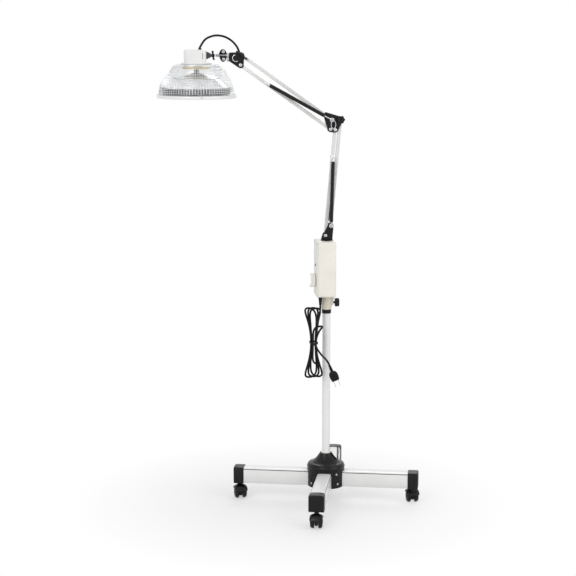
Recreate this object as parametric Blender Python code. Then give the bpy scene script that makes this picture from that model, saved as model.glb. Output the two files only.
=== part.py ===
"""Infrared heat therapy lamp on a wheeled stand, for Blender 4.5, in metres with +Z up.

The arm, the box and the head lie in the XZ plane, with the head towards -X. Heights are
measured from the floor, and the other places from the pole's axis, which stands at POLE_X.
"""
import math

import bmesh
import bpy
import numpy as np
from mathutils import Matrix, Vector

# Running clearances, counts of sides and small allowances
GAP = 0.0003
OVERRUN = 0.004
WELD = 0.000003
ROUND_SIDES = 24
SHARP_ANGLE_DEG = 40.0
SMALL_SIDES = 16
TINY_SIDES = 10
ARC_POINTS = 5

# Casters
WHEEL_RADIUS = 0.018
WHEEL_SIDES = 16
WHEEL_WIDTH = 0.0105
WHEEL_GAP = 0.0110
AXLE_RADIUS = 0.0025
AXLE_HOLE_RADIUS = 0.0030
CASTER_TRAIL = 0.010
CASTER_HEIGHT = 0.0427
HOOD_CLEARANCE = 0.0010
HOOD_WALL = 0.0018
HOOD_REACH_DEG = 78.0
WEB_WIDTH = 0.0080
NECK_RADIUS = 0.0060
STEM_RADIUS = 0.0040
STEM_LENGTH = 0.018
STEM_CLEARANCE = 0.0003
CASTER_HEADING_DEGS = (180.0, 170.0, 6.0, -10.0)
WHEEL_CHAMFER = 0.0014
WHEEL_DOME = 0.0010
WEB_BOSS_RADIUS = 0.0060
WEB_EAR_RADIUS = 0.0020
WEB_EAR_RISE = 0.0165
WEB_EAR_SIDE = 0.0100
HOOD_MARGIN = 0.0005
NECK_BOTTOM = 0.0369

# Legs and their end caps
LEG_ANGLES_DEG = (-12.5, 77.5, 167.5, 257.5)
LEG_WIDTH = 0.0385
LEG_SIDE_HEIGHT = 0.0395
LEG_CROWN = 0.0035
LEG_WALL = 0.0015
LEG_INNER_END = 0.0205
LEG_ARCH_SHARE = 0.45
LEG_ARCH_POINTS = 7
CAP_TIP_RADIUS = 0.2540
CASTER_INSET = 0.0145
CAP_LENGTH = 0.0280
CAP_SOCKET_DEPTH = 0.0080
CAP_WALL = 0.0014

# Hub
HUB_RADIUS = 0.0510
HUB_LIP = 0.0009
HUB_WALL = 0.0025
HUB_SKIRT_BOTTOM = 0.0440
HUB_RING_HEIGHT = 0.0985
HUB_SHOULDER_HEIGHT = 0.1085
HUB_SHOULDER_RADIUS = 0.0450
HUB_NECK_RADIUS = 0.0166
HUB_NECK_HEIGHT = 0.1345
HUB_ARCH_CLEARANCE = 0.0008
HUB_CONE_POWER = 1.8
HUB_CONE_POINTS = 5
CORE_RADIUS = 0.0360
CORE_THICKNESS = 0.0040

# Pole, its ring and the strip beside its foot
POLE_RADIUS = 0.0110
POLE_WALL = 0.0014
POLE_FOOT_RADIUS = 0.0136
POLE_FOOT_TOP = 0.1385
POLE_RISE = 0.0170
COLLAR_RADIUS = 0.0128
SOCKET_LENGTH = 0.0377
COLLAR_HEIGHT = 0.0105
STRIP_THICKNESS = 0.0022
STRIP_WIDTH = 0.0200
STRIP_RISE = 0.0200
STRIP_REACH = 0.0335

# Control box
BOX_BOTTOM = 0.5730
BOX_HEIGHT = 0.1495
BOX_DEPTH = 0.0516
BOX_WIDTH = 0.0780
BOX_WALL = 0.0024
BOX_EDGE = 0.0050
BOX_BACK_X = 0.0216
PANEL_THICKNESS = 0.0026
SOCKET_RADIUS = 0.0136
SOCKET_BORE_CLEARANCE = 0.0004
SOCKET_RISE = 0.0195
SOCKET_FLANGE_RADIUS = 0.0190
SOCKET_FLANGE_THICKNESS = 0.0022
GUSSET_REACH = 0.0215
GUSSET_THICKNESS = 0.0050
GUSSET_DEPTH = 0.0330
GUSSET_LIP = 0.0030
BOSS_RADIUS = 0.0070
BOSS_REACH = 0.0180
CLAMP_KNOB_CLEARANCE = 0.0084
CLAMP_STEM_RADIUS = 0.0030
CLAMP_KNOB_RADIUS = 0.0116
CLAMP_KNOB_START = 0.0222
CLAMP_KNOB_THICKNESS = 0.0120
CLAMP_RIB_DEPTH = 0.0008
CLAMP_RIBS = 12
CLAMP_KNOB_CHAMFER = 0.0016

# Timer, its knob and the indicator
TIMER_UNIT_CLEARANCE = 0.0025
TIMER_KNOB_RADIUS = 0.0185
TIMER_SKIRT_THICKNESS = 0.0032
TIMER_WAIST_RADIUS = 0.0105
TIMER_KNOB_REACH = 0.0175
TIMER_GRIP_WIDTH = 0.0075
TIMER_STAND_OFF = 0.0016
TIMER_TURN_DEG = 18.0
TIMER_SHAFT_RADIUS = 0.0030
TIMER_SHAFT_CLEARANCE = 0.0004
TIMER_SHAFT_REACH = 0.0080
TIMER_BUSH_RADIUS = 0.0130
TIMER_SADDLE_REACH = 0.0118
TIMER_UPPER_REACH = 0.0140
TIMER_END_RADIUS = 0.0030
TIMER_UNIT_SIZE = 0.0400
TIMER_UNIT_DEPTH = 0.0220
INDICATOR_SPACING = 0.0210
INDICATOR_RADIUS = 0.0040
INDICATOR_PROUD = 0.0018
INDICATOR_TOP_RADIUS = 0.0032

# Mains cord, with its gland, hank, tie and plug
CORD_RADIUS = 0.00265
GLAND_X = -0.0185
GLAND_Y = -0.0135
GLAND_RADIUS = 0.0052
GLAND_TIP_RADIUS = 0.0036
GLAND_LENGTH = 0.0230
HANK_WAIST_X = -0.0385
HANK_WAIST_Z = 0.4500
HANK_BACK_Y = -0.0180
HANK_PITCH = 0.0062
HANK_HALF_WIDTH = 0.0325
HANK_PINCH_SHARE = 0.82
HANK_FLAT_SHARE = 0.25
HANK_WAIST_KEEP_SHARE = 0.10
HANK_START_TURN = 0.25
HANK_END_TURN = 4.25
HANK_POINTS_PER_TURN = 24
HANK_BEND_X = (-0.0210, -0.0238, -0.0310, -0.0376, -0.0403, -0.0505, -0.0530, -0.0290, -0.0205, -0.0250)
HANK_BEND_REACH = (0.0950, 0.0965, 0.0920, 0.0950, 0.0945, 0.0950, 0.0955, 0.0570, 0.0460, 0.0600)
HANK_BEND_WIDTH_SHARES = (1.0, 1.0, 1.0, 1.0, 1.0, 1.0, 0.95, 0.66, 0.62, 0.62)
TIE_THICKNESS = 0.0012
TIE_HEIGHT = 0.0050
TIE_CORNER = 0.0030
TIE_HALF_X = 0.0108
TIE_HALF_Y = 0.0156
CORD_IN_PLACES = ((-0.0193, -0.0140, 0.5300), (-0.0238, -0.0155, 0.5080), (-0.0262, -0.0175, 0.4900))
CORD_OUT_PLACES = ((-0.0285, -0.0450, 0.4320), (-0.0165, -0.0468, 0.4160), (-0.0050, -0.0475, 0.4040))
PLUG_Y = -0.0475
PLUG_TOP_X = 0.0030
PLUG_TOP_Z = 0.3890
PLUG_LEAN_DEG = 22.6
PLUG_RELIEF_LENGTH = 0.0180
PLUG_BODY_LENGTH = 0.0270
PLUG_BODY_WIDTH = 0.0240
PLUG_BODY_THICKNESS = 0.0160
PLUG_NECK_RADIUS = 0.0045
PLUG_TIP_RADIUS = 0.0038
PLUG_SHOULDER_SHARE = 0.8
PLUG_FACE_SHARE = 0.93
PLUG_CORNER_SHARE = 0.6
PLUG_CORNER_POINTS = 5
PRONG_LENGTH = 0.0170
PRONG_WIDTH = 0.0063
PRONG_THICKNESS = 0.0015
PRONG_SPACING = 0.0127
PRONG_ROOT = 0.0040

# Spring arm: places of the pivots and sizes of the bars
ARM_FOOT_X = -0.0042
ARM_FOOT_RISE = 0.0135
LOWER_LINK_X = 0.0143
LOWER_LINK_Z = 0.0270
LOWER_BAR_LENGTH = 0.2840
LOWER_LEAN_DEG = 5.0
ELBOW_LINK_X = -0.0124
ELBOW_LINK_Z = 0.0010
UPPER_LINK_X = 0.0030
UPPER_LINK_Z = 0.0255
UPPER_BAR_LENGTH = 0.2926
UPPER_RISE_DEG = 35.5
BAR_WIDTH = 0.0090
BAR_CORNER = 0.0012
CHEEK_THICKNESS = 0.0018
CHEEK_CLEARANCE = 0.0007
PIN_RADIUS = 0.0024
PIN_HOLE_RADIUS = 0.0028
RIVET_HEAD_RADIUS = 0.0046
RIVET_HEAD_HEIGHT = 0.0016
RIVET_SIDES = 12
BRACKET_LOBE_RADIUS = 0.0074
BRACKET_BASE_THICKNESS = 0.0024
BRACKET_BASE_RADIUS = 0.0165
BRACKET_FOOT_X = 0.0
SWIVEL_PIN_RADIUS = 0.0050
SWIVEL_PIN_LENGTH = 0.0120
SWIVEL_CLEARANCE = 0.0004
ELBOW_NOSE_X = -0.0142
ELBOW_NOSE_Z = 0.0125
ELBOW_NOSE_RADIUS = 0.0068
ELBOW_SPACER_X = 0.0085
ELBOW_SPACER_Z = 0.0137
SPACER_RADIUS = 0.0034
BAR_WALL = 0.0010
BAR_END = 0.0040
BAR_CORNER_POINTS = 3
BRACKET_CORNER_RADIUS = 0.0030
BRACKET_HALF_FOOT = 0.0115
SPRING_PIN_REACH = 0.0176
SPRING_PIN_HEAD = 0.0034
SPRING_PIN_HEAD_HEIGHT = 0.0010
STUD_REACH = 0.0130

# Springs in their sleeves
SPRING_RING_DISTANCE = 0.2120
SPRING_SLEEVE_RADIUS = 0.0050
SPRING_OFFSET = 0.0142
LOWER_HOOK_LENGTH = 0.0100
UPPER_HOOK_LENGTH = 0.0230
SPRING_TAIL_LENGTH = 0.0120
SPRING_WIRE_RADIUS = 0.0011
WIRE_SIDES = 6
SPRING_EYE_RADIUS = 0.0046
SPRING_EYE_HALF = 0.0014

# Knobs of the arm
ELBOW_KNOB_RADIUS = 0.0110
ELBOW_KNOB_THICKNESS = 0.0100
ELBOW_KNOB_LOBES = 6
ELBOW_KNOB_LOBE_DEPTH = 0.0016
WING_REACH = 0.0125
BRACKET_WING_REACH = 0.0185
WING_THICKNESS = 0.0040
WING_HUB_RADIUS = 0.0050
WING_HUB_THICKNESS = 0.0070
WING_RISE = 0.0060
BRACKET_KNOB_TURN_DEG = 143.0
WING_NUT_TURN_DEG = 10.0

# Head bracket, jaws, rod and knuckle
HEAD_BRACKET_REACH = 0.0295
HEAD_BRACKET_TOP = 0.0325
HEAD_BRACKET_BOTTOM = 0.0085
HEAD_WEB_END = 0.0125
HEAD_WEB_BORE_END = 0.0150
HEAD_LOBE_RADIUS = 0.0085
HEAD_ROD_DROP = 0.0003
JAW_WIDTH = 0.0180
JAW_LENGTH = 0.0205
JAW_LOWER_REACH = 0.0170
JAW_UPPER_REACH = 0.0160
JAW_START = 0.0353
JAW_LOWER_LENGTH = 0.0140
JAW_BARREL_RADIUS = 0.0062
JAW_BARREL_START = 0.0298
JAW_SCREW_RADIUS = 0.0030
JAW_SCREW_PROUD = 0.0012
JAW_SCREW_AT = 0.0446
JAW_SCREW_RISE = 0.0105
ROD_RADIUS = 0.0046
ROD_BORE_RADIUS = 0.0050
ROD_THIN_RADIUS = 0.0028
ROD_EYE_RADIUS = 0.0048
ROD_EYE_WIDTH = 0.0050
ROD_START = 0.0155
ROD_STEP = 0.0625
WING_NUT_AT = 0.0712
TILT_AT = 0.0806
KNUCKLE_WIDTH = 0.0150
KNUCKLE_HEIGHT = 0.0190
KNUCKLE_REACH = 0.0058
KNUCKLE_PIN_RADIUS = 0.0022
KNUCKLE_CORNER = 0.0010
KNUCKLE_SLOT_CLEARANCE = 0.0004

# Heating head
HEAD_CENTRE_FROM_TILT = 0.0346
CAP_SIDE_FROM_TILT = 0.0092
CAP_BODY_HALF_X = 0.0288
CAP_BODY_HALF_Y = 0.0265
CAP_BODY_CORNER = 0.0090
CAP_SLOT_WIDTH = 0.0012
CAP_SLOT_DEPTH = 0.0010
CAP_SLOT_FROM_SIDE = 0.0100
CAP_SLOT_LOW = 0.0100
CAP_SLOT_HIGH = 0.0090
CAP_BODY_TOP = 0.0152
CAP_BODY_EDGE = 0.0030
HEAD_CAP_WALL = 0.0016
FLANGE_RADIUS = 0.0407
FLANGE_THICKNESS = 0.0022
FLANGE_DROP = 0.0215
FLANGE_HOLE_RADIUS = 0.0040
HOOD_RADII = (0.0995, 0.0957, 0.0905, 0.0843, 0.0615, 0.0392)
HOOD_DROPS = (0.0997, 0.0750, 0.0640, 0.0536, 0.0262, 0.0226)
HOOD_BARS = 18
HOOD_WIRE = 0.0016
RIM_RADIUS = 0.1052
RIM_HEIGHT = 0.0088
RIM_WALL = 0.0018
RIM_LEDGE = 0.0115
RIM_BOTTOM_DROP = 0.1097
RIM_LEDGE_THICKNESS = 0.0014
INSULATOR_RADIUS = 0.0365
INSULATOR_HEIGHT = 0.0132
INSULATOR_WALL = 0.0045
REFLECTOR_RADII = (0.0970, 0.0880, 0.0850, 0.0560, 0.0110)
REFLECTOR_DROPS = (0.1006, 0.0990, 0.0850, 0.0570, 0.0462)
REFLECTOR_WALL = 0.0012
HEATER_RADIUS = 0.0800
HEATER_THICKNESS = 0.0060
HEATER_DROP = 0.0935
HEATER_STUD_RADIUS = 0.0060
GUARD_WIRE = 0.0014
GUARD_RINGS = 2
GUARD_SPOKES = 6
GUARD_PLATE_RADIUS = 0.0110

# Lead from the head to the arm
LEAD_RADIUS = 0.0028
LEAD_EXIT_FROM_CENTRE = 0.0097
LEAD_PLACES = ((0.0125, 0.0240), (0.0270, 0.0325), (0.0446, 0.0360), (0.0650, 0.0325), (0.0827, 0.0224),
               (0.0955, 0.0087), (0.1015, -0.0035))
LEAD_POINTS = 22
CORD_POINTS = 18


# Places that follow from the sizes above
CASTER_RADIUS = CAP_TIP_RADIUS - CASTER_INSET
STRIP_TOP = HUB_NECK_HEIGHT + STRIP_RISE
POLE_TOP = BOX_BOTTOM + POLE_RISE
SOCKET_TOP = BOX_BOTTOM + SOCKET_RISE
COLLAR_BOTTOM = BOX_BOTTOM - SOCKET_LENGTH - GAP - COLLAR_HEIGHT
GUSSET_BOTTOM = BOX_BOTTOM - GUSSET_DEPTH


def unit_xz(degrees_from_up, towards_minus_x=True):
    """Unit vector in the XZ plane, leaning from straight up by an angle."""
    lean = math.radians(degrees_from_up)
    side = -math.sin(lean) if towards_minus_x else math.sin(lean)
    return Vector((side, 0, math.cos(lean)))


LOWER_DIRECTION = unit_xz(LOWER_LEAN_DEG, towards_minus_x=False)
UPPER_DIRECTION = unit_xz(math.degrees(math.pi / 2) - UPPER_RISE_DEG)
LOWER_LINK = Vector((LOWER_LINK_X, 0, LOWER_LINK_Z))
UPPER_LINK = Vector((UPPER_LINK_X, 0, UPPER_LINK_Z))
BOX_TOP = BOX_BOTTOM + BOX_HEIGHT

ARM_FOOT_FROM_POLE = Vector((ARM_FOOT_X, 0, BOX_TOP + ARM_FOOT_RISE))
ELBOW_FROM_POLE = ARM_FOOT_FROM_POLE + LOWER_DIRECTION * LOWER_BAR_LENGTH
UPPER_FOOT_FROM_POLE = ELBOW_FROM_POLE + Vector((ELBOW_LINK_X, 0, ELBOW_LINK_Z))
WRIST_FROM_POLE = UPPER_FOOT_FROM_POLE + UPPER_DIRECTION * UPPER_BAR_LENGTH
HEAD_FROM_POLE = WRIST_FROM_POLE.x - TILT_AT - HEAD_CENTRE_FROM_TILT

# The pole stands where the model's bounding box, from rim to cap, has its centre at x = 0
LEG_TIP_X = (CAP_TIP_RADIUS * math.cos(math.radians(LEG_ANGLES_DEG[0]))
             - (LEG_WIDTH / 2 + CAP_WALL) * math.sin(math.radians(LEG_ANGLES_DEG[0])))
POLE_X = (RIM_RADIUS - HEAD_FROM_POLE - LEG_TIP_X) / 2
POLE = Vector((POLE_X, 0, 0))

PIVOT_A = POLE + ARM_FOOT_FROM_POLE
PIVOT_B = PIVOT_A + LOWER_LINK
ELBOW_A = POLE + ELBOW_FROM_POLE
ELBOW_B = ELBOW_A + LOWER_LINK
ELBOW_C = POLE + UPPER_FOOT_FROM_POLE
ELBOW_D = ELBOW_C + UPPER_LINK
WRIST_C = POLE + WRIST_FROM_POLE
WRIST_D = WRIST_C + UPPER_LINK
ROD_AXIS = WRIST_D - Vector((0, 0, HEAD_ROD_DROP))
TILT = Vector((WRIST_C.x - TILT_AT, 0, ROD_AXIS.z))
HEAD = Vector((TILT.x - HEAD_CENTRE_FROM_TILT, 0, ROD_AXIS.z))


def material(name, colour, roughness, metallic=0.0):
    """Principled material in a plain colour."""
    made = bpy.data.materials.get(name)
    if made:
        return made
    made = bpy.data.materials.new(name)
    made.use_nodes = True
    shader = made.node_tree.nodes["Principled BSDF"]
    shader.inputs["Base Color"].default_value = (*colour, 1.0)
    shader.inputs["Roughness"].default_value = roughness
    shader.inputs["Metallic"].default_value = metallic
    made.diffuse_color = (*colour, 1.0)
    return made


def white_enamel():
    return material("white_enamel", (0.82, 0.82, 0.81), 0.32)


def black_plastic():
    return material("black_plastic", (0.018, 0.018, 0.019), 0.35)


def beige_plastic():
    return material("beige_plastic", (0.80, 0.77, 0.70), 0.42)


def black_enamel():
    return material("black_enamel", (0.015, 0.015, 0.016), 0.28)


def bright_steel():
    return material("bright_steel", (0.66, 0.66, 0.67), 0.25, 1.0)


def black_rubber():
    return material("black_rubber", (0.012, 0.012, 0.012), 0.55)


def amber_ceramic():
    return material("amber_ceramic", (0.72, 0.58, 0.20), 0.40)


def grey_ceramic():
    return material("grey_ceramic", (0.30, 0.29, 0.28), 0.85)


def clean(mesh):
    """Welds doubles and turns the faces of a bmesh outwards."""
    bmesh.ops.remove_doubles(mesh, verts=mesh.verts, dist=GAP * GAP)
    bmesh.ops.recalc_face_normals(mesh, faces=mesh.faces)
    return mesh


def turned(profile, sides=ROUND_SIDES, closed=False):
    """Solid of revolution about Z from (radius, height) pairs; a closed profile makes a ring."""
    mesh = bmesh.new()
    columns = []
    for radius, height in profile:
        if radius == 0:
            columns.append([mesh.verts.new((0, 0, height))] * sides)
            continue
        angles = [2 * math.pi * step / sides for step in range(sides)]
        columns.append([mesh.verts.new((radius * math.cos(a), radius * math.sin(a), height)) for a in angles])
    pairs = list(zip(columns, columns[1:]))
    if closed:
        pairs.append((columns[-1], columns[0]))
    for low, high in pairs:
        for step in range(sides):
            follow = (step + 1) % sides
            corners = [low[step], low[follow], high[follow], high[step]]
            unique = list(dict.fromkeys(corners))
            if len(unique) > 2:
                mesh.faces.new(unique)
    if not closed:
        for column in (columns[0], columns[-1]):
            if column[0] is not column[1]:
                mesh.faces.new(column)
    return clean(mesh)


def rod(radius, low, high, sides=SMALL_SIDES):
    """Plain round bar along Z."""
    return turned([(radius, low), (radius, high)], sides)


def tube(outer, inner, low, high, sides=ROUND_SIDES):
    """Round tube along Z."""
    return turned([(outer, low), (outer, high), (inner, high), (inner, low)], sides, closed=True)


def prism(outline, low, high):
    """Outline in XY, extruded along Z."""
    mesh = bmesh.new()
    bottom = [mesh.verts.new((x, y, low)) for x, y in outline]
    top = [mesh.verts.new((x, y, high)) for x, y in outline]
    mesh.faces.new(bottom)
    mesh.faces.new(top)
    for step in range(len(outline)):
        follow = (step + 1) % len(outline)
        mesh.faces.new((bottom[step], bottom[follow], top[follow], top[step]))
    return clean(mesh)


def hollow_prism(outer, inner, low, high):
    """Two outlines with as many points each, extruded along Z into a tube."""
    mesh = bmesh.new()
    loops = [[mesh.verts.new((x, y, z)) for x, y in outline]
             for outline, z in ((outer, low), (outer, high), (inner, high), (inner, low))]
    for start, end in zip(loops, loops[1:] + loops[:1]):
        for step in range(len(outer)):
            follow = (step + 1) % len(outer)
            mesh.faces.new((start[step], start[follow], end[follow], end[step]))
    return clean(mesh)


def loft(rings):
    """Closed body through rings of points, each ring with as many points."""
    mesh = bmesh.new()
    loops = [[mesh.verts.new(point) for point in ring] for ring in rings]
    for start, end in zip(loops, loops[1:]):
        for step in range(len(start)):
            follow = (step + 1) % len(start)
            mesh.faces.new((start[step], start[follow], end[follow], end[step]))
    mesh.faces.new(loops[0])
    mesh.faces.new(loops[-1])
    return clean(mesh)


def block(size, centre=(0, 0, 0), edge=0.0):
    """Rectangular block, with bevelled edges where an edge is given."""
    mesh = bmesh.new()
    bmesh.ops.create_cube(mesh, size=1)
    bmesh.ops.scale(mesh, vec=Vector(size), verts=mesh.verts)
    bmesh.ops.translate(mesh, vec=Vector(centre), verts=mesh.verts)
    if edge:
        bmesh.ops.bevel(mesh, geom=mesh.edges[:], offset=edge, segments=3, profile=0.5, affect="EDGES")
    return clean(mesh)


def rounded_outline(half_x, half_y, corner, points=ARC_POINTS):
    """Rectangle with round corners, as points in XY."""
    outline = []
    for turn, (sx, sy) in enumerate(((1, 1), (-1, 1), (-1, -1), (1, -1))):
        for step in range(points):
            angle = math.pi / 2 * (turn + step / (points - 1))
            outline.append((sx * (half_x - corner) + corner * math.cos(angle),
                            sy * (half_y - corner) + corner * math.sin(angle)))
    return outline


def circles_hull(circles, points=RIVET_SIDES):
    """Outline of a band pulled round circles given as (x, y, radius)."""
    cloud = [(x + r * math.cos(2 * math.pi * step / points), y + r * math.sin(2 * math.pi * step / points))
             for x, y, r in circles for step in range(points)]
    cloud = sorted(set(cloud))

    def half(points_in_order):
        chain = []
        for point in points_in_order:
            while len(chain) > 1:
                ax, ay = chain[-1][0] - chain[-2][0], chain[-1][1] - chain[-2][1]
                bx, by = point[0] - chain[-2][0], point[1] - chain[-2][1]
                if ax * by - ay * bx > 0:
                    break
                chain.pop()
            chain.append(point)
        return chain[:-1]

    return half(cloud) + half(cloud[::-1])


def moved(mesh, offset=(0, 0, 0), turn=0.0, axis="Z"):
    """Turns a bmesh about an axis through the origin, then shifts it."""
    mesh.transform(Matrix.Translation(Vector(offset)) @ Matrix.Rotation(turn, 4, axis))
    return mesh


def along_x(mesh):
    """Lays a body that was made along Z so that it runs along +X."""
    return moved(mesh, turn=math.pi / 2, axis="Y")


def along_y(mesh):
    """Lays a body that was made in XY and along Z so that X stays, Y points up and Z points to -Y."""
    return moved(mesh, turn=math.pi / 2, axis="X")


def data_of(mesh):
    data = bpy.data.meshes.new("shape")
    mesh.to_mesh(data)
    mesh.free()
    return data


def carved(bodies, cutters=()):
    """Joins bodies into one and takes the cutters out of it, with exact Booleans."""
    scene = bpy.context.scene
    helpers = [bpy.data.objects.new("helper", data_of(body)) for body in [*bodies, *cutters]]
    for helper in helpers:
        scene.collection.objects.link(helper)
    base = helpers[0]
    for index, helper in enumerate(helpers[1:], start=1):
        modifier = base.modifiers.new("shape", "BOOLEAN")
        modifier.operation = "UNION" if index < len(bodies) else "DIFFERENCE"
        modifier.object = helper
        modifier.solver = "EXACT"
    bpy.context.view_layer.update()
    result = bmesh.new()
    result.from_mesh(base.evaluated_get(bpy.context.evaluated_depsgraph_get()).to_mesh())
    for helper in helpers:
        data = helper.data
        bpy.data.objects.remove(helper)
        bpy.data.meshes.remove(data)
    bmesh.ops.remove_doubles(result, verts=result.verts, dist=WELD)
    bmesh.ops.dissolve_degenerate(result, edges=result.edges, dist=WELD)
    open_edges = [edge for edge in result.edges if edge.is_boundary]
    bmesh.ops.holes_fill(result, edges=open_edges, sides=ARC_POINTS)
    return result


def pivot(name, place, parent=None):
    """Empty on a joint's axis."""
    empty = bpy.data.objects.new(name, None)
    empty.empty_display_size = POLE_RADIUS
    bpy.context.scene.collection.objects.link(empty)
    keep_place(empty, place, parent)
    return empty


def keep_place(item, place, parent):
    """Parents an unturned object and gives it its place in the object's frame."""
    item.parent = parent
    base = parent["place"] if parent else (0, 0, 0)
    item["place"] = tuple(place)
    item.location = Vector(place) - Vector(base)


def piece(name, mesh, finish, parent):
    """Named object at its parent's pivot, from a bmesh in the object's frame."""
    place = Vector(parent["place"])
    moved(mesh, offset=-place)
    data = data_of(mesh)
    data.name = name
    data.materials.append(finish)
    for face in data.polygons:
        face.use_smooth = True
    data.set_sharp_from_angle(angle=math.radians(SHARP_ANGLE_DEG))
    made = bpy.data.objects.new(name, data)
    bpy.context.scene.collection.objects.link(made)
    keep_place(made, place, parent)
    return made


def smooth_points(places, count):
    """Points at even steps along a smooth curve through the given places."""
    knots = [Vector(place) for place in places]
    ends = [knots[0] * 2 - knots[1], *knots, knots[-1] * 2 - knots[-2]]
    dense = []
    for index in range(len(knots) - 1):
        p0, p1, p2, p3 = ends[index:index + 4]
        for step in range(count):
            t = step / count
            dense.append(0.5 * (2 * p1 + (p2 - p0) * t + (2 * p0 - 5 * p1 + 4 * p2 - p3) * t * t
                                + (3 * p1 - p0 - 3 * p2 + p3) * t * t * t))
    dense.append(knots[-1])
    lengths = [0.0]
    for before, after in zip(dense, dense[1:]):
        lengths.append(lengths[-1] + (after - before).length)
    wanted = [lengths[-1] * step / (count - 1) for step in range(count)]
    table = np.array([tuple(point) for point in dense])
    return [Vector([float(np.interp(want, lengths, table[:, axis])) for axis in range(3)]) for want in wanted]


def cord(name, points, radius, finish, parent, resolution=2):
    """Round cord along points, as a bevelled curve with filled caps."""
    curve = bpy.data.curves.new(name, "CURVE")
    curve.dimensions = "3D"
    curve.bevel_depth = radius
    curve.bevel_resolution = resolution
    curve.use_fill_caps = True
    spline = curve.splines.new("POLY")
    spline.points.add(len(points) - 1)
    base = Vector(parent["place"])
    for knot, point in zip(spline.points, points):
        knot.co = (*(point - base), 1)
    curve.materials.append(finish)
    made = bpy.data.objects.new(name, curve)
    bpy.context.scene.collection.objects.link(made)
    keep_place(made, base, parent)
    return made


def radial(mesh, angle_deg, place=POLE):
    """Lays a body so that Z points away from the pole at an angle, X goes round and Y goes up."""
    angle = math.radians(angle_deg)
    turn = Matrix(((-math.sin(angle), 0, math.cos(angle)), (math.cos(angle), 0, math.sin(angle)), (0, 1, 0)))
    mesh.transform(Matrix.Translation(place) @ turn.to_4x4())
    return mesh


def along_minus_x(mesh):
    """Lays a body made along Z so that it points to -X, with its X up."""
    return moved(mesh, turn=-math.pi / 2, axis="Y")


CAP_BOTTOM = CASTER_HEIGHT + GAP
LEG_BOTTOM = CAP_BOTTOM + CAP_WALL + GAP
LEG_TOP = LEG_BOTTOM + LEG_SIDE_HEIGHT + LEG_CROWN
WHEEL_CENTRE = WHEEL_RADIUS * math.cos(math.pi / WHEEL_SIDES)
HOOD_INNER = WHEEL_RADIUS + HOOD_CLEARANCE
HOOD_OUTER = HOOD_INNER + HOOD_WALL


def leg_outline(grow=0.0):
    """Section of a leg: flat bottom and sides, and a low arch on top."""
    half = LEG_WIDTH / 2 + grow
    side_top = LEG_BOTTOM + LEG_SIDE_HEIGHT
    outline = [(-half, LEG_BOTTOM - grow), (half, LEG_BOTTOM - grow)]
    for step in range(LEG_ARCH_POINTS):
        angle = math.pi * step / (LEG_ARCH_POINTS - 1)
        across = math.copysign(abs(math.cos(angle)) ** LEG_ARCH_SHARE, math.cos(angle))
        outline.append((half * across, side_top + (LEG_CROWN + grow) * math.sin(angle)))
    return outline


def make_legs(stand):
    end = CAP_TIP_RADIUS - CAP_LENGTH + CAP_SOCKET_DEPTH - GAP
    for number, angle in enumerate(LEG_ANGLES_DEG, start=1):
        leg = hollow_prism(leg_outline(), leg_outline(-LEG_WALL), LEG_INNER_END, end)
        piece(f"leg_{number}", radial(leg, angle), white_enamel(), stand)


def make_leg_end_caps(stand):
    start = CAP_TIP_RADIUS - CAP_LENGTH
    for number, angle in enumerate(LEG_ANGLES_DEG, start=1):
        body = prism(leg_outline(CAP_WALL + GAP), start, CAP_TIP_RADIUS)
        socket = prism(leg_outline(GAP), start - OVERRUN, start + CAP_SOCKET_DEPTH)
        bore = rod(STEM_RADIUS + STEM_CLEARANCE, CAP_BOTTOM - OVERRUN, CAP_BOTTOM + STEM_LENGTH + GAP)
        bore = moved(bore, turn=-math.pi / 2, axis="X")
        bore = moved(bore, offset=(0, 0, CASTER_RADIUS))
        piece(f"leg_cap_{number}", radial(carved([body], [socket, bore]), angle), black_plastic(), stand)


def hub_profile():
    """Half section of the hub cover: outside from the skirt up to the neck, then back down inside."""
    lip = HUB_LIP
    outside = [(HUB_RADIUS - lip, HUB_SKIRT_BOTTOM), (HUB_RADIUS, HUB_SKIRT_BOTTOM + lip),
               (HUB_RADIUS, HUB_RING_HEIGHT - 2 * lip), (HUB_RADIUS + lip, HUB_RING_HEIGHT - lip),
               (HUB_RADIUS + lip, HUB_RING_HEIGHT), (HUB_RADIUS, HUB_RING_HEIGHT + lip)]
    rise = HUB_SHOULDER_HEIGHT - HUB_RING_HEIGHT - lip
    run = HUB_RADIUS - HUB_SHOULDER_RADIUS
    for step in range(1, ARC_POINTS):
        angle = math.pi / 2 * step / (ARC_POINTS - 1)
        outside.append((HUB_SHOULDER_RADIUS + run * math.cos(angle),
                        HUB_RING_HEIGHT + lip + rise * math.sin(angle)))
    inside = []
    for step in range(1, HUB_CONE_POINTS + 1):
        share = step / HUB_CONE_POINTS
        radius = HUB_SHOULDER_RADIUS + (HUB_NECK_RADIUS - HUB_SHOULDER_RADIUS) * share
        height = HUB_SHOULDER_HEIGHT + (HUB_NECK_HEIGHT - HUB_SHOULDER_HEIGHT) * share ** HUB_CONE_POWER
        outside.append((radius, height))
        if step < HUB_CONE_POINTS - 1:
            inside.append((radius, height - HUB_WALL))
    bore = POLE_FOOT_RADIUS + GAP
    outside.append((bore, HUB_NECK_HEIGHT))
    neck_inside = [(bore, inside[-1][1] + HUB_WALL)]
    rim_inside = [(HUB_RADIUS - HUB_WALL, HUB_RING_HEIGHT), (HUB_RADIUS - HUB_WALL, HUB_SKIRT_BOTTOM)]
    return outside + neck_inside + inside[::-1] + rim_inside


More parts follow.
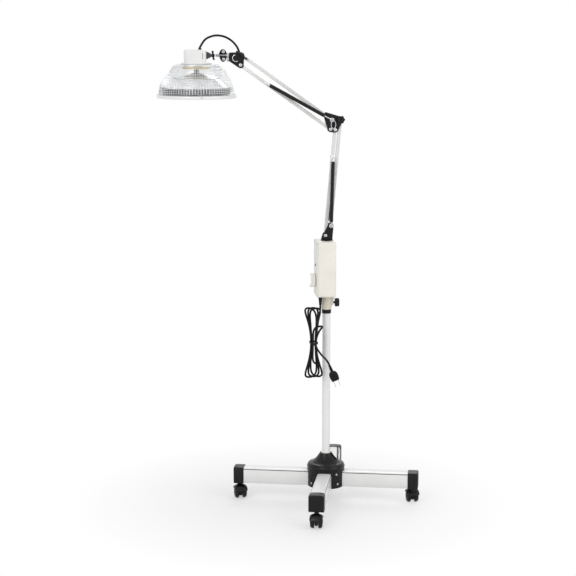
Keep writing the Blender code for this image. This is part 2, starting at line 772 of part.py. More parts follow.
def make_hub(stand):
    arches = [radial(prism(leg_outline(HUB_ARCH_CLEARANCE), 0, HUB_RADIUS + OVERRUN), angle, Vector())
              for angle in LEG_ANGLES_DEG]
    cover = carved([turned(hub_profile(), closed=True)], arches)
    piece("hub_cover", moved(cover, offset=POLE), black_plastic(), stand)
    disc_bottom = LEG_TOP + GAP
    disc_top = disc_bottom + CORE_THICKNESS
    boss = POLE_RADIUS - POLE_WALL - GAP
    core = turned([(0, disc_bottom), (CORE_RADIUS, disc_bottom), (CORE_RADIUS, disc_top), (boss, disc_top),
                   (boss, HUB_NECK_HEIGHT), (0, HUB_NECK_HEIGHT)])
    piece("hub_core", moved(core, offset=POLE), bright_steel(), stand)
    inner = POLE_RADIUS - POLE_WALL
    pole = turned([(POLE_FOOT_RADIUS, disc_top + GAP), (POLE_FOOT_RADIUS, POLE_FOOT_TOP), (POLE_RADIUS, POLE_FOOT_TOP),
                   (POLE_RADIUS, POLE_TOP), (inner, POLE_TOP), (inner, disc_top + GAP)], closed=True)
    piece("pole", moved(pole, offset=POLE), white_enamel(), stand)


def make_pole_fittings(stand):
    lip = HUB_LIP
    top = COLLAR_BOTTOM + COLLAR_HEIGHT
    bore = POLE_RADIUS + GAP
    collar = turned([(bore, COLLAR_BOTTOM), (COLLAR_RADIUS - lip, COLLAR_BOTTOM), (COLLAR_RADIUS, COLLAR_BOTTOM + lip),
                     (COLLAR_RADIUS, top - lip), (COLLAR_RADIUS - lip, top), (bore, top)], closed=True)
    piece("pole_collar", moved(collar, offset=POLE), black_plastic(), stand)
    inner = STRIP_REACH - STRIP_THICKNESS
    share = (HUB_SHOULDER_RADIUS - inner) / (HUB_SHOULDER_RADIUS - HUB_NECK_RADIUS)
    foot = HUB_SHOULDER_HEIGHT + (HUB_NECK_HEIGHT - HUB_SHOULDER_HEIGHT) * share ** HUB_CONE_POWER + 3 * GAP
    outline = [(bore, STRIP_TOP - STRIP_THICKNESS), (inner, STRIP_TOP - STRIP_THICKNESS), (inner, foot),
               (STRIP_REACH, foot), (STRIP_REACH, STRIP_TOP), (bore, STRIP_TOP)]
    strip = moved(prism(outline, -STRIP_WIDTH / 2, STRIP_WIDTH / 2), turn=math.pi / 2, axis="X")
    piece("lock_strip", moved(strip, offset=POLE), bright_steel(), stand)


def caster_housing():
    """Hood over both wheels, a web between them, the neck and the stem; the stem is the Z axis."""
    reach = math.radians(HOOD_REACH_DEG)
    steps = [reach * (2 * step / (2 * ARC_POINTS) - 1) for step in range(2 * ARC_POINTS + 1)]
    outline = [(-HOOD_OUTER * math.cos(a), HOOD_OUTER * math.sin(a)) for a in steps]
    outline += [(-HOOD_INNER * math.cos(a), HOOD_INNER * math.sin(a)) for a in reversed(steps)]
    half = WHEEL_GAP / 2 + WHEEL_WIDTH + WHEEL_DOME + HOOD_MARGIN
    hood = along_x(prism(outline, -half, half))
    ears = [(-WEB_EAR_RISE, side, WEB_EAR_RADIUS) for side in (-WEB_EAR_SIDE, WEB_EAR_SIDE)]
    web = along_x(prism(circles_hull([(0, 0, WEB_BOSS_RADIUS), *ears]), -WEB_WIDTH / 2, WEB_WIDTH / 2))
    axle_hole = along_x(rod(AXLE_HOLE_RADIUS, -WEB_WIDTH, WEB_WIDTH, TINY_SIDES))
    place = (0, -CASTER_TRAIL, WHEEL_CENTRE)
    for body in (hood, web, axle_hole):
        moved(body, offset=place)
    neck = turned([(0, NECK_BOTTOM), (NECK_RADIUS, NECK_BOTTOM), (NECK_RADIUS, CASTER_HEIGHT),
                   (STEM_RADIUS, CASTER_HEIGHT), (STEM_RADIUS, CASTER_HEIGHT + STEM_LENGTH),
                   (0, CASTER_HEIGHT + STEM_LENGTH)], RIVET_SIDES)
    return carved([hood, web, neck], [axle_hole])


def caster_wheels():
    """Both wheels on their axle, turned about X, with one flat of the tread facing straight down."""
    inner, outer = WHEEL_GAP / 2, WHEEL_GAP / 2 + WHEEL_WIDTH
    edge = WHEEL_RADIUS - WHEEL_CHAMFER
    half = [(AXLE_RADIUS, inner), (WHEEL_RADIUS, inner), (WHEEL_RADIUS, outer - WHEEL_CHAMFER), (edge, outer), (edge / 2, outer + WHEEL_DOME),
            (0, outer + WHEEL_DOME)]
    profile = [(radius, -place) for radius, place in half[::-1]] + half
    wheels = moved(turned(profile, WHEEL_SIDES), turn=math.pi / WHEEL_SIDES)
    return moved(along_x(wheels), offset=(0, -CASTER_TRAIL, WHEEL_CENTRE))


def make_casters(stand):
    for number, (angle, heading) in enumerate(zip(LEG_ANGLES_DEG, CASTER_HEADING_DEGS), start=1):
        foot = POLE + CASTER_RADIUS * Vector((math.cos(math.radians(angle)), math.sin(math.radians(angle)), 0))
        turn = math.radians(heading)
        swivel = pivot(f"caster_swivel_{number}", foot, stand)
        axle = foot + Vector((CASTER_TRAIL * math.sin(turn), -CASTER_TRAIL * math.cos(turn), WHEEL_CENTRE))
        wheel = pivot(f"wheel_roll_{number}", axle, swivel)
        piece(f"caster_housing_{number}", moved(caster_housing(), foot, turn), black_plastic(), swivel)
        piece(f"caster_wheels_{number}", moved(caster_wheels(), foot, turn), black_rubber(), wheel)


BOX_FRONT_X = BOX_BACK_X - BOX_DEPTH
BOX_CENTRE_X = BOX_BACK_X - BOX_DEPTH / 2
BOX_CENTRE_Z = BOX_BOTTOM + BOX_HEIGHT / 2
CLAMP_Z = BOX_BOTTOM - CLAMP_KNOB_CLEARANCE - CLAMP_KNOB_RADIUS
TIMER_Z = SOCKET_TOP + TIMER_UNIT_CLEARANCE + TIMER_UNIT_SIZE / 2
INDICATOR_Z = TIMER_Z + TIMER_UNIT_SIZE / 2 + INDICATOR_SPACING


def on_panel(mesh, height, side=0.0):
    """Lays a body made along Z so that it points out of the panel; Z = 0 is the panel's outer face."""
    return moved(along_minus_x(mesh), offset=POLE + Vector((BOX_FRONT_X, side, height)))


def make_box(box):
    whole = block((BOX_DEPTH, BOX_WIDTH, BOX_HEIGHT), (BOX_CENTRE_X, 0, BOX_CENTRE_Z), BOX_EDGE)
    front = PANEL_THICKNESS + GAP
    inside = block((BOX_DEPTH - front - BOX_WALL + OVERRUN, BOX_WIDTH - 2 * BOX_WALL, BOX_HEIGHT - 2 * BOX_WALL),
                   (BOX_BACK_X - BOX_WALL - (BOX_DEPTH - front - BOX_WALL + OVERRUN) / 2, 0, BOX_CENTRE_Z))
    slab = block((front + OVERRUN, BOX_WIDTH + OVERRUN, BOX_HEIGHT + OVERRUN),
                 (BOX_FRONT_X + front - (front + OVERRUN) / 2, 0, BOX_CENTRE_Z))
    socket_hole = rod(SOCKET_RADIUS + GAP, BOX_BOTTOM - OVERRUN, BOX_BOTTOM + BOX_WALL + OVERRUN, ROUND_SIDES)
    pin_hole = rod(SWIVEL_PIN_RADIUS + SWIVEL_CLEARANCE, BOX_TOP - BOX_WALL - OVERRUN, BOX_TOP + OVERRUN)
    moved(pin_hole, offset=(BRACKET_FOOT_X, 0, 0))
    shell = carved([whole], [inside, slab, socket_hole, pin_hole])
    piece("box_shell", moved(shell, offset=POLE), beige_plastic(), box)

    panel = prism(rounded_outline(BOX_HEIGHT / 2, BOX_WIDTH / 2, BOX_EDGE), -PANEL_THICKNESS, 0)
    timer_drop = TIMER_Z - BOX_CENTRE_Z
    lamp_rise = INDICATOR_Z - BOX_CENTRE_Z
    cuts = [moved(rod(TIMER_SHAFT_RADIUS + TIMER_SHAFT_CLEARANCE, -OVERRUN, OVERRUN), (timer_drop, 0, 0)),
            moved(rod(INDICATOR_RADIUS + GAP, -OVERRUN, OVERRUN), (lamp_rise, 0, 0))]
    piece("box_panel", on_panel(carved([panel], cuts), BOX_CENTRE_Z), beige_plastic(), box)

    lens = turned([(0, -PANEL_THICKNESS), (INDICATOR_RADIUS, -PANEL_THICKNESS), (INDICATOR_RADIUS, GAP),
                   (INDICATOR_TOP_RADIUS, INDICATOR_PROUD), (0, INDICATOR_PROUD)], SMALL_SIDES)
    piece("indicator", on_panel(lens, INDICATOR_Z), amber_ceramic(), box)


def make_socket(box):
    """Sleeve over the pole, with a flange on the box's floor, a gusset and the boss of the clamp screw."""
    bore = POLE_RADIUS + SOCKET_BORE_CLEARANCE
    low = COLLAR_BOTTOM + COLLAR_HEIGHT + GAP
    floor = BOX_BOTTOM + BOX_WALL + GAP
    sleeve = turned([(bore, low), (SOCKET_RADIUS, low), (SOCKET_RADIUS, floor), (SOCKET_FLANGE_RADIUS, floor),
                     (SOCKET_FLANGE_RADIUS, floor + SOCKET_FLANGE_THICKNESS),
                     (SOCKET_RADIUS, floor + SOCKET_FLANGE_THICKNESS), (SOCKET_RADIUS, SOCKET_TOP),
                     (bore, SOCKET_TOP)], closed=True)
    under = BOX_BOTTOM - GAP
    middle = (bore + SOCKET_RADIUS) / 2
    web = prism([(middle, GUSSET_BOTTOM), (middle, under), (GUSSET_REACH, under), (GUSSET_REACH, under - GUSSET_LIP)],
                -GUSSET_THICKNESS / 2, GUSSET_THICKNESS / 2)
    gusset = along_y(web)
    boss = moved(along_x(rod(BOSS_RADIUS, middle, BOSS_REACH)), (0, 0, CLAMP_Z))
    screw_hole = moved(along_x(rod(CLAMP_STEM_RADIUS + GAP, 0, BOSS_REACH + OVERRUN, TINY_SIDES)),
                       (0, 0, CLAMP_Z))
    socket = carved([sleeve, gusset, boss], [screw_hole])
    piece("box_socket", moved(socket, offset=POLE), beige_plastic(), box)


def ribbed_knob(radius, depth, ribs, thickness, chamfer):
    """Knob with ribs round its edge, standing on Z = 0."""
    outline = []
    for step in range(2 * ribs):
        angle = math.pi * step / ribs
        reach = radius if step % 2 else radius - depth
        outline.append((math.cos(angle), math.sin(angle), reach))
    rings = []
    for height, cut in ((0, chamfer), (chamfer, 0), (thickness - chamfer, 0), (thickness, chamfer)):
        rings.append([(x * (reach - cut), y * (reach - cut), height) for x, y, reach in outline])
    return loft(rings)


def make_clamp_knob(box):
    place = POLE + Vector((CLAMP_KNOB_START, 0, CLAMP_Z))
    turn = pivot("clamp_turn", place, box)
    head = ribbed_knob(CLAMP_KNOB_RADIUS, CLAMP_RIB_DEPTH, CLAMP_RIBS, CLAMP_KNOB_THICKNESS, CLAMP_KNOB_CHAMFER)
    stem = rod(CLAMP_STEM_RADIUS, POLE_RADIUS + GAP - CLAMP_KNOB_START, CLAMP_KNOB_THICKNESS / 2, TINY_SIDES)
    piece("clamp_knob", moved(along_x(carved([head, stem])), offset=place), black_plastic(), turn)


def make_timer(box):
    bush_reach = TIMER_STAND_OFF - GAP
    unit = block((TIMER_UNIT_SIZE, TIMER_UNIT_SIZE, TIMER_UNIT_DEPTH),
                 (0, 0, -PANEL_THICKNESS - GAP - TIMER_UNIT_DEPTH / 2))
    shaft = rod(TIMER_SHAFT_RADIUS, -PANEL_THICKNESS - TIMER_UNIT_DEPTH / 2, TIMER_SHAFT_REACH, SMALL_SIDES)
    bush = rod(TIMER_BUSH_RADIUS, GAP, bush_reach)
    piece("timer_unit", on_panel(carved([unit, shaft, bush]), TIMER_Z), black_plastic(), box)

    turn = pivot("timer_turn", POLE + Vector((BOX_FRONT_X, 0, TIMER_Z)), box)
    base = TIMER_STAND_OFF
    rim = base + TIMER_SKIRT_THICKNESS
    skirt = turned([(0, base), (TIMER_KNOB_RADIUS, base), (TIMER_KNOB_RADIUS, base + TIMER_SKIRT_THICKNESS / 2),
                    (TIMER_WAIST_RADIUS, rim), (TIMER_WAIST_RADIUS / 2, TIMER_SADDLE_REACH), (0, TIMER_SADDLE_REACH)])
    ends = TIMER_KNOB_RADIUS - TIMER_END_RADIUS
    saddle = []
    for step in range(ARC_POINTS):
        share = step / (ARC_POINTS - 1)
        dip = math.sin(math.pi * share)
        top = TIMER_KNOB_REACH + (TIMER_UPPER_REACH - TIMER_KNOB_REACH) * share
        saddle.append((-ends + 2 * ends * share, top + (TIMER_SADDLE_REACH - top) * dip))
    outline = [(-TIMER_KNOB_RADIUS, base + GAP), *saddle, (TIMER_KNOB_RADIUS, base + GAP)]
    half = TIMER_GRIP_WIDTH / 2
    grip = moved(prism(outline, -half, half), turn=math.pi / 2, axis="X")
    bore = rod(TIMER_SHAFT_RADIUS + TIMER_SHAFT_CLEARANCE, 0, TIMER_SHAFT_REACH + GAP)
    knob = moved(carved([skirt, grip], [bore]), turn=math.radians(TIMER_TURN_DEG))
    piece("timer_knob", on_panel(knob, TIMER_Z), beige_plastic(), turn)


def bend_value(values, turn):
    """Value between the bends of the hank, two bends for each turn, level at each bend."""
    place = turn * 2
    index = int(math.floor(place))
    share = place - index
    ease = share * share * (3 - 2 * share)
    return values[index] + (values[index + 1] - values[index]) * ease


def hank_point(turn):
    """Place on the hank after a number of turns: down on the right, up on the left, drawn in at the waist."""
    c, s = math.cos(2 * math.pi * turn), math.sin(2 * math.pi * turn)
    spread = HANK_WAIST_KEEP_SHARE + (1 - HANK_WAIST_KEEP_SHARE) * c * c
    middle = HANK_WAIST_X + (bend_value(HANK_BEND_X, turn) - HANK_WAIST_X) * spread
    half = HANK_HALF_WIDTH * bend_value(HANK_BEND_WIDTH_SHARES, turn)
    reach = bend_value(HANK_BEND_REACH, turn)
    x = middle + half * s * (1 - HANK_PINCH_SHARE * s * s)
    z = HANK_WAIST_Z + reach * (c * (1 + HANK_FLAT_SHARE) - HANK_FLAT_SHARE * c ** 3)
    return POLE + Vector((x, HANK_BACK_Y - HANK_PITCH * turn, z))


def hank_gap(points):
    """Least gap between the hank's surface and itself, away from each point's own neighbours."""
    table = np.array([tuple(point) for point in points])
    skip = HANK_POINTS_PER_TURN // 3
    least = min(float(np.linalg.norm(table[index + skip:] - table[index], axis=1).min())
                for index in range(len(points) - skip))
    return least - 2 * CORD_RADIUS


def length_of(points):
    return sum((after - before).length for before, after in zip(points, points[1:]))


def make_plug(box):
    top = POLE + Vector((PLUG_TOP_X, PLUG_Y, PLUG_TOP_Z))
    lean = -math.radians(PLUG_LEAN_DEG)
    body_top = PLUG_RELIEF_LENGTH
    end = PLUG_RELIEF_LENGTH + PLUG_BODY_LENGTH
    half_w, half_t = PLUG_BODY_WIDTH / 2, PLUG_BODY_THICKNESS / 2
    sections = ((0, PLUG_TIP_RADIUS, PLUG_TIP_RADIUS, 1),
                (body_top, PLUG_NECK_RADIUS, PLUG_NECK_RADIUS, 1),
                (body_top + PLUG_BODY_LENGTH / 5, PLUG_SHOULDER_SHARE * half_w, PLUG_SHOULDER_SHARE * half_t,
                 PLUG_CORNER_SHARE),
                (body_top + PLUG_BODY_LENGTH / 2, half_w, half_t, PLUG_CORNER_SHARE),
                (end, PLUG_FACE_SHARE * half_w, PLUG_FACE_SHARE * half_t, PLUG_CORNER_SHARE))
    rings = [[(x, y, -down) for x, y in rounded_outline(w, t, (min(w, t) - GAP) * corner_share, PLUG_CORNER_POINTS)]
             for down, w, t, corner_share in sections]
    turn = dict(offset=top, turn=lean, axis="Y")
    slots = []
    for number, side in enumerate((-PRONG_SPACING / 2, PRONG_SPACING / 2), start=1):
        slots.append(block((PRONG_THICKNESS + 2 * GAP, PRONG_WIDTH + 2 * GAP, 2 * (PRONG_ROOT + GAP)),
                           (side, 0, -end)))
        length = PRONG_LENGTH + PRONG_ROOT
        prong = block((PRONG_THICKNESS, PRONG_WIDTH, length), (side, 0, -end + PRONG_ROOT - length / 2))
        piece(f"plug_prong_{number}", moved(prong, **turn), bright_steel(), box)
    piece("plug_body", moved(carved([loft(rings)], slots), **turn), black_rubber(), box)
    return top


def make_cord(box):
    gland_top = BOX_BOTTOM - GAP
    tip = gland_top - GLAND_LENGTH
    gland = turned([(0, tip), (GLAND_TIP_RADIUS, tip), (GLAND_RADIUS, gland_top - GLAND_LENGTH / 3),
                    (GLAND_RADIUS + HUB_LIP, gland_top - GLAND_LENGTH / 4), (GLAND_RADIUS + HUB_LIP, gland_top),
                    (0, gland_top)], SMALL_SIDES)
    piece("cord_gland", moved(gland, offset=POLE + Vector((GLAND_X, GLAND_Y, 0))), black_plastic(), box)

    turns = HANK_END_TURN - HANK_START_TURN
    count = int(turns * HANK_POINTS_PER_TURN) + 1
    hank = [hank_point(HANK_START_TURN + turns * step / (count - 1)) for step in range(count)]
    start, after = hank[0], hank[1]
    end, before = hank[-1], hank[-2]
    into = (after - start).normalized()
    out = (end - before).normalized()
    exit_place = POLE + Vector((GLAND_X, GLAND_Y, tip - GAP))
    straight = 2 * CORD_RADIUS
    lead = smooth_points([exit_place, exit_place - Vector((0, 0, straight)),
                          *[POLE + Vector(place) for place in CORD_IN_PLACES],
                          start - into * straight, start - into * GAP], CORD_POINTS)
    plug_top = make_plug(box)
    plug_axis = Vector((-math.sin(math.radians(PLUG_LEAN_DEG)), 0, math.cos(math.radians(PLUG_LEAN_DEG))))
    tail = smooth_points([end + out * GAP, end + out * straight,
                          *[POLE + Vector(place) for place in CORD_OUT_PLACES],
                          plug_top + plug_axis * straight, plug_top + plug_axis * GAP], CORD_POINTS)
    cord("cord_lead", lead, CORD_RADIUS, black_rubber(), box)
    cord("cord_hank", hank, CORD_RADIUS, black_rubber(), box, resolution=1)
    cord("cord_tail", tail, CORD_RADIUS, black_rubber(), box)
    total = length_of(lead) + length_of(hank) + length_of(tail)
    print(f"mains cord: {total:.3f} m, least gap in its hank {hank_gap(hank) * 1000:.2f} mm")

    middle_y = HANK_BACK_Y - HANK_PITCH * (HANK_START_TURN + HANK_END_TURN) / 2
    low, high = HANK_WAIST_Z - TIE_HEIGHT / 2, HANK_WAIST_Z + TIE_HEIGHT / 2
    outer = rounded_outline(TIE_HALF_X + TIE_THICKNESS, TIE_HALF_Y + TIE_THICKNESS, TIE_CORNER + TIE_THICKNESS)
    tie = hollow_prism(outer, rounded_outline(TIE_HALF_X, TIE_HALF_Y, TIE_CORNER), low, high)
    piece("hank_tie", moved(tie, offset=POLE + Vector((HANK_WAIST_X, middle_y, 0))), black_plastic(), box)


CHEEK_INNER = BAR_WIDTH / 2 + CHEEK_CLEARANCE
CHEEK_OUTER = CHEEK_INNER + CHEEK_THICKNESS
LOWER_TURN = math.radians(LOWER_LEAN_DEG)
UPPER_TURN = math.radians(UPPER_RISE_DEG) - math.pi / 2


def flat(point):
    """Place in the plane of the arm, as (x, z)."""
    return point.x, point.z


def cheeks(circles):
    """Two equal side plates pulled round circles (x, z, radius) of the arm's plane."""
    outline = circles_hull(circles)
    return [along_y(prism(outline, CHEEK_INNER, CHEEK_OUTER)), along_y(prism(outline, -CHEEK_OUTER, -CHEEK_INNER))]


def rivet(place, reach=CHEEK_OUTER, head=RIVET_HEAD_RADIUS, height=RIVET_HEAD_HEIGHT):
    """Pin across the arm with a low head at either end."""
    end = reach + height
    half = [(head, reach), (head, end), (0, end)]
    profile = [(radius, -z) for radius, z in half[::-1]] + [(PIN_RADIUS, -reach), (PIN_RADIUS, reach)] + half
    return moved(along_y(turned(profile, RIVET_SIDES)), offset=place)


def spring_pin(place):
    return rivet(place, SPRING_PIN_REACH, SPRING_PIN_HEAD, SPRING_PIN_HEAD_HEIGHT)


def stud(place):
    """Pin with a low head at the back and a plain end that carries a knob at the front."""
    profile = [(0, -CHEEK_OUTER - RIVET_HEAD_HEIGHT), (RIVET_HEAD_RADIUS, -CHEEK_OUTER - RIVET_HEAD_HEIGHT),
               (RIVET_HEAD_RADIUS, -CHEEK_OUTER), (PIN_RADIUS, -CHEEK_OUTER), (PIN_RADIUS, STUD_REACH),
               (0, STUD_REACH)]
    return moved(along_y(turned(profile, RIVET_SIDES)), offset=place)


def bar(start, turn, length, ring_at=None):
    """Square tube from pivot to pivot, with the holes of its pins."""
    half = BAR_WIDTH / 2
    outer = rounded_outline(half, half, BAR_CORNER, BAR_CORNER_POINTS)
    inner = rounded_outline(half - BAR_WALL, half - BAR_WALL, BAR_CORNER - BAR_WALL / 2, BAR_CORNER_POINTS)
    body = hollow_prism(outer, inner, -BAR_END, length + BAR_END)
    holes = []
    for place in (0, length, ring_at):
        if place is not None:
            hole = along_y(rod(PIN_HOLE_RADIUS, -BAR_WIDTH, BAR_WIDTH, TINY_SIDES))
            holes.append(moved(hole, offset=(0, 0, place)))
    return moved(carved([body], holes), offset=start, turn=turn, axis="Y")


def springs(start, ring, hook):
    """Two sleeved springs from a bracket's pin to the ring pin that goes through a bar."""
    way = ring - start
    length = way.length
    turn = math.atan2(way.x, way.z)
    eye_inner = SPRING_EYE_RADIUS - SPRING_WIRE_RADIUS
    eye_outer = SPRING_EYE_RADIUS + SPRING_WIRE_RADIUS
    sleeve_end = length - SPRING_TAIL_LENGTH
    crown = SPRING_SLEEVE_RADIUS / 2
    ring_pin = along_y(rod(PIN_RADIUS, -SPRING_PIN_REACH, SPRING_PIN_REACH, RIVET_SIDES))
    bodies = [moved(ring_pin, offset=(0, 0, length))]
    for side in (-SPRING_OFFSET, SPRING_OFFSET):
        eye = tube(eye_outer, eye_inner, -SPRING_EYE_HALF, SPRING_EYE_HALF, RIVET_SIDES)
        ring_end = rod(SPRING_EYE_RADIUS, -SPRING_EYE_HALF, SPRING_EYE_HALF, RIVET_SIDES)
        sleeve = turned([(0, hook), (crown, hook), (SPRING_SLEEVE_RADIUS, hook + crown),
                         (SPRING_SLEEVE_RADIUS, sleeve_end - crown), (crown, sleeve_end), (0, sleeve_end)],
                        RIVET_SIDES)
        wires = rod(SPRING_WIRE_RADIUS, SPRING_EYE_RADIUS, length - SPRING_WIRE_RADIUS, WIRE_SIDES)
        bodies.append(moved(along_y(ring_end), offset=(0, side, length)))
        bodies += [moved(body, offset=(0, side, 0)) for body in (sleeve, wires, along_y(eye))]
    return moved(carved(bodies), offset=start, turn=turn, axis="Y")


def lobed_knob(place):
    """Round knob with lobes, pointing to -Y, bored for its stud."""
    rings = []
    steps = ELBOW_KNOB_LOBES * ARC_POINTS
    chamfer = CLAMP_KNOB_CHAMFER
    thickness = ELBOW_KNOB_THICKNESS
    for height, cut in ((0, chamfer), (chamfer, 0), (thickness - chamfer, 0), (thickness, chamfer)):
        ring = []
        for step in range(steps):
            angle = 2 * math.pi * step / steps
            wave = (1 - math.cos(ELBOW_KNOB_LOBES * angle)) / 2
            radius = ELBOW_KNOB_RADIUS - cut - ELBOW_KNOB_LOBE_DEPTH * wave
            ring.append((radius * math.cos(angle), radius * math.sin(angle), height))
        rings.append(ring)
    bore = rod(PIN_HOLE_RADIUS, -OVERRUN, STUD_REACH - CHEEK_OUTER + GAP)
    knob = carved([loft(rings)], [bore])
    return moved(along_y(knob), offset=place - Vector((0, CHEEK_OUTER + GAP, 0)))


def wing_knob(bore_radius, bore_end, wing_reach):
    """Hub with two wings along X, standing on Z = 0."""
    hub = rod(WING_HUB_RADIUS, 0, WING_HUB_THICKNESS)
    half = WING_THICKNESS / 2
    reach = wing_reach - half
    bodies = [hub]
    for side in (-1, 1):
        outline = circles_hull([(0, WING_THICKNESS, half), (side * reach, WING_RISE, half)], TINY_SIDES)
        bodies.append(along_y(prism(outline, -half, half)))
    return carved(bodies, [rod(bore_radius, -OVERRUN, bore_end)])


def make_lower_arm(box):
    arm = pivot("arm_turn", POLE, box)
    base_low = BOX_TOP + GAP
    base_high = base_low + BRACKET_BASE_THICKNESS
    base = turned([(0, base_low - SWIVEL_PIN_LENGTH), (SWIVEL_PIN_RADIUS, base_low - SWIVEL_PIN_LENGTH),
                   (SWIVEL_PIN_RADIUS, base_low), (BRACKET_BASE_RADIUS, base_low), (BRACKET_BASE_RADIUS, base_high),
                   (0, base_high)])
    foot = BRACKET_CORNER_RADIUS + (base_low + base_high) / 2
    lobes = [(*flat(PIVOT_A - POLE), BRACKET_LOBE_RADIUS), (*flat(PIVOT_B - POLE), BRACKET_LOBE_RADIUS),
             (-BRACKET_HALF_FOOT, foot, BRACKET_CORNER_RADIUS), (BRACKET_HALF_FOOT, foot, BRACKET_CORNER_RADIUS)]
    bodies = [base, *cheeks(lobes), rivet(PIVOT_A - POLE), spring_pin(PIVOT_B - POLE)]
    piece("lower_bracket", moved(carved(bodies), offset=POLE), black_enamel(), arm)

    fold = pivot("lower_arm_fold", PIVOT_A, arm)
    link = pivot("lower_link", PIVOT_B, arm)
    piece("lower_bar_a", bar(PIVOT_A, LOWER_TURN, LOWER_BAR_LENGTH, SPRING_RING_DISTANCE), white_enamel(), fold)
    piece("lower_bar_b", bar(PIVOT_B, LOWER_TURN, LOWER_BAR_LENGTH), white_enamel(), link)
    ring = PIVOT_A + LOWER_DIRECTION * SPRING_RING_DISTANCE
    piece("lower_springs", springs(PIVOT_B, ring, LOWER_HOOK_LENGTH), black_rubber(), fold)
    return fold


def make_elbow(fold):
    level = pivot("elbow_level", ELBOW_A, fold)
    lobes = [(*flat(place), BRACKET_LOBE_RADIUS) for place in (ELBOW_A, ELBOW_B, ELBOW_C, ELBOW_D)]
    nose = ELBOW_D + Vector((ELBOW_NOSE_X, 0, ELBOW_NOSE_Z))
    spacer = along_y(rod(SPACER_RADIUS, -CHEEK_OUTER, CHEEK_OUTER))
    moved(spacer, offset=ELBOW_C + Vector((ELBOW_SPACER_X, 0, ELBOW_SPACER_Z)))
    bodies = [spacer, *cheeks([*lobes, (*flat(nose), ELBOW_NOSE_RADIUS)]), rivet(ELBOW_A), stud(ELBOW_B),
              rivet(ELBOW_C), spring_pin(ELBOW_D)]
    piece("elbow_bracket", carved(bodies), black_enamel(), level)
    knob = pivot("elbow_knob_turn", ELBOW_B, level)
    piece("elbow_knob", lobed_knob(ELBOW_B), black_plastic(), knob)

    upper = pivot("upper_arm_fold", ELBOW_C, level)
    link = pivot("upper_link", ELBOW_D, level)
    piece("upper_bar_a", bar(ELBOW_C, UPPER_TURN, UPPER_BAR_LENGTH, SPRING_RING_DISTANCE), white_enamel(), upper)
    piece("upper_bar_b", bar(ELBOW_D, UPPER_TURN, UPPER_BAR_LENGTH), white_enamel(), link)
    ring = ELBOW_C + UPPER_DIRECTION * SPRING_RING_DISTANCE
    piece("upper_springs", springs(ELBOW_D, ring, UPPER_HOOK_LENGTH), black_rubber(), upper)
    return upper


def ellipse_part(centre_x, half_x, half_z, start, end):
    """Points on an ellipse of the rod's plane, from one angle to another."""
    steps = 2 * ARC_POINTS
    points = []
    for step in range(steps + 1):
        angle = start + (end - start) * step / steps
        points.append((centre_x + half_x * math.cos(angle), half_z * math.sin(angle)))
    return points


def make_jaws(wrist):
    """Half-round upper jaw and quarter-round lower jaw round the rod, with a barrel up to the bracket."""
    half_y = JAW_WIDTH / 2
    outline = ellipse_part(-JAW_START - JAW_LENGTH / 2, JAW_LENGTH / 2, JAW_UPPER_REACH, 0, math.pi)
    outline += ellipse_part(-JAW_START, JAW_LOWER_LENGTH, JAW_LOWER_REACH, math.pi, 3 * math.pi / 2)
    bodies = [along_y(prism(outline, -half_y, half_y)),
              along_x(rod(JAW_BARREL_RADIUS, -JAW_START - ROD_RADIUS, -JAW_BARREL_START))]
    for rise in (JAW_SCREW_RISE, -JAW_SCREW_RISE):
        screw = along_y(rod(JAW_SCREW_RADIUS, 0, half_y + JAW_SCREW_PROUD))
        bodies.append(moved(screw, offset=(-JAW_SCREW_AT + (ROD_RADIUS if rise < 0 else 0), 0, rise)))
    bore = along_x(rod(ROD_BORE_RADIUS, -JAW_START - JAW_LENGTH - OVERRUN, -JAW_BARREL_START + OVERRUN))
    place = Vector((WRIST_C.x, 0, ROD_AXIS.z))
    piece("clamp_jaws", moved(carved(bodies, [bore]), offset=place), black_plastic(), wrist)


def make_rod(wrist):
    """Rod that turns in the bracket's web and the jaws, thinner beyond them, with an eye at the tilt pin."""
    axis = Vector((WRIST_C.x, 0, ROD_AXIS.z))
    roll = pivot("head_roll", axis, wrist)
    thick = along_x(rod(ROD_RADIUS, -ROD_STEP, -ROD_START))
    thin = along_x(rod(ROD_THIN_RADIUS, -TILT_AT + ROD_EYE_RADIUS / 2, -ROD_STEP + ROD_RADIUS / 2))
    eye = moved(along_y(rod(ROD_EYE_RADIUS, -ROD_EYE_WIDTH / 2, ROD_EYE_WIDTH / 2)), offset=(-TILT_AT, 0, 0))
    hole = moved(along_y(rod(KNUCKLE_PIN_RADIUS + GAP, -ROD_EYE_WIDTH, ROD_EYE_WIDTH)), offset=(-TILT_AT, 0, 0))
    piece("clamp_rods", moved(carved([thick, thin, eye], [hole]), offset=axis), bright_steel(), roll)

    nut = pivot("wing_nut_turn", axis - Vector((WING_NUT_AT, 0, 0)), roll)
    wings = wing_knob(ROD_THIN_RADIUS + GAP, WING_HUB_THICKNESS + OVERRUN, WING_REACH)
    moved(wings, offset=(0, 0, -WING_HUB_THICKNESS / 2))
    moved(along_x(moved(wings, turn=math.radians(WING_NUT_TURN_DEG))), offset=nut["place"])
    piece("wing_nut", wings, black_plastic(), nut)
    return roll


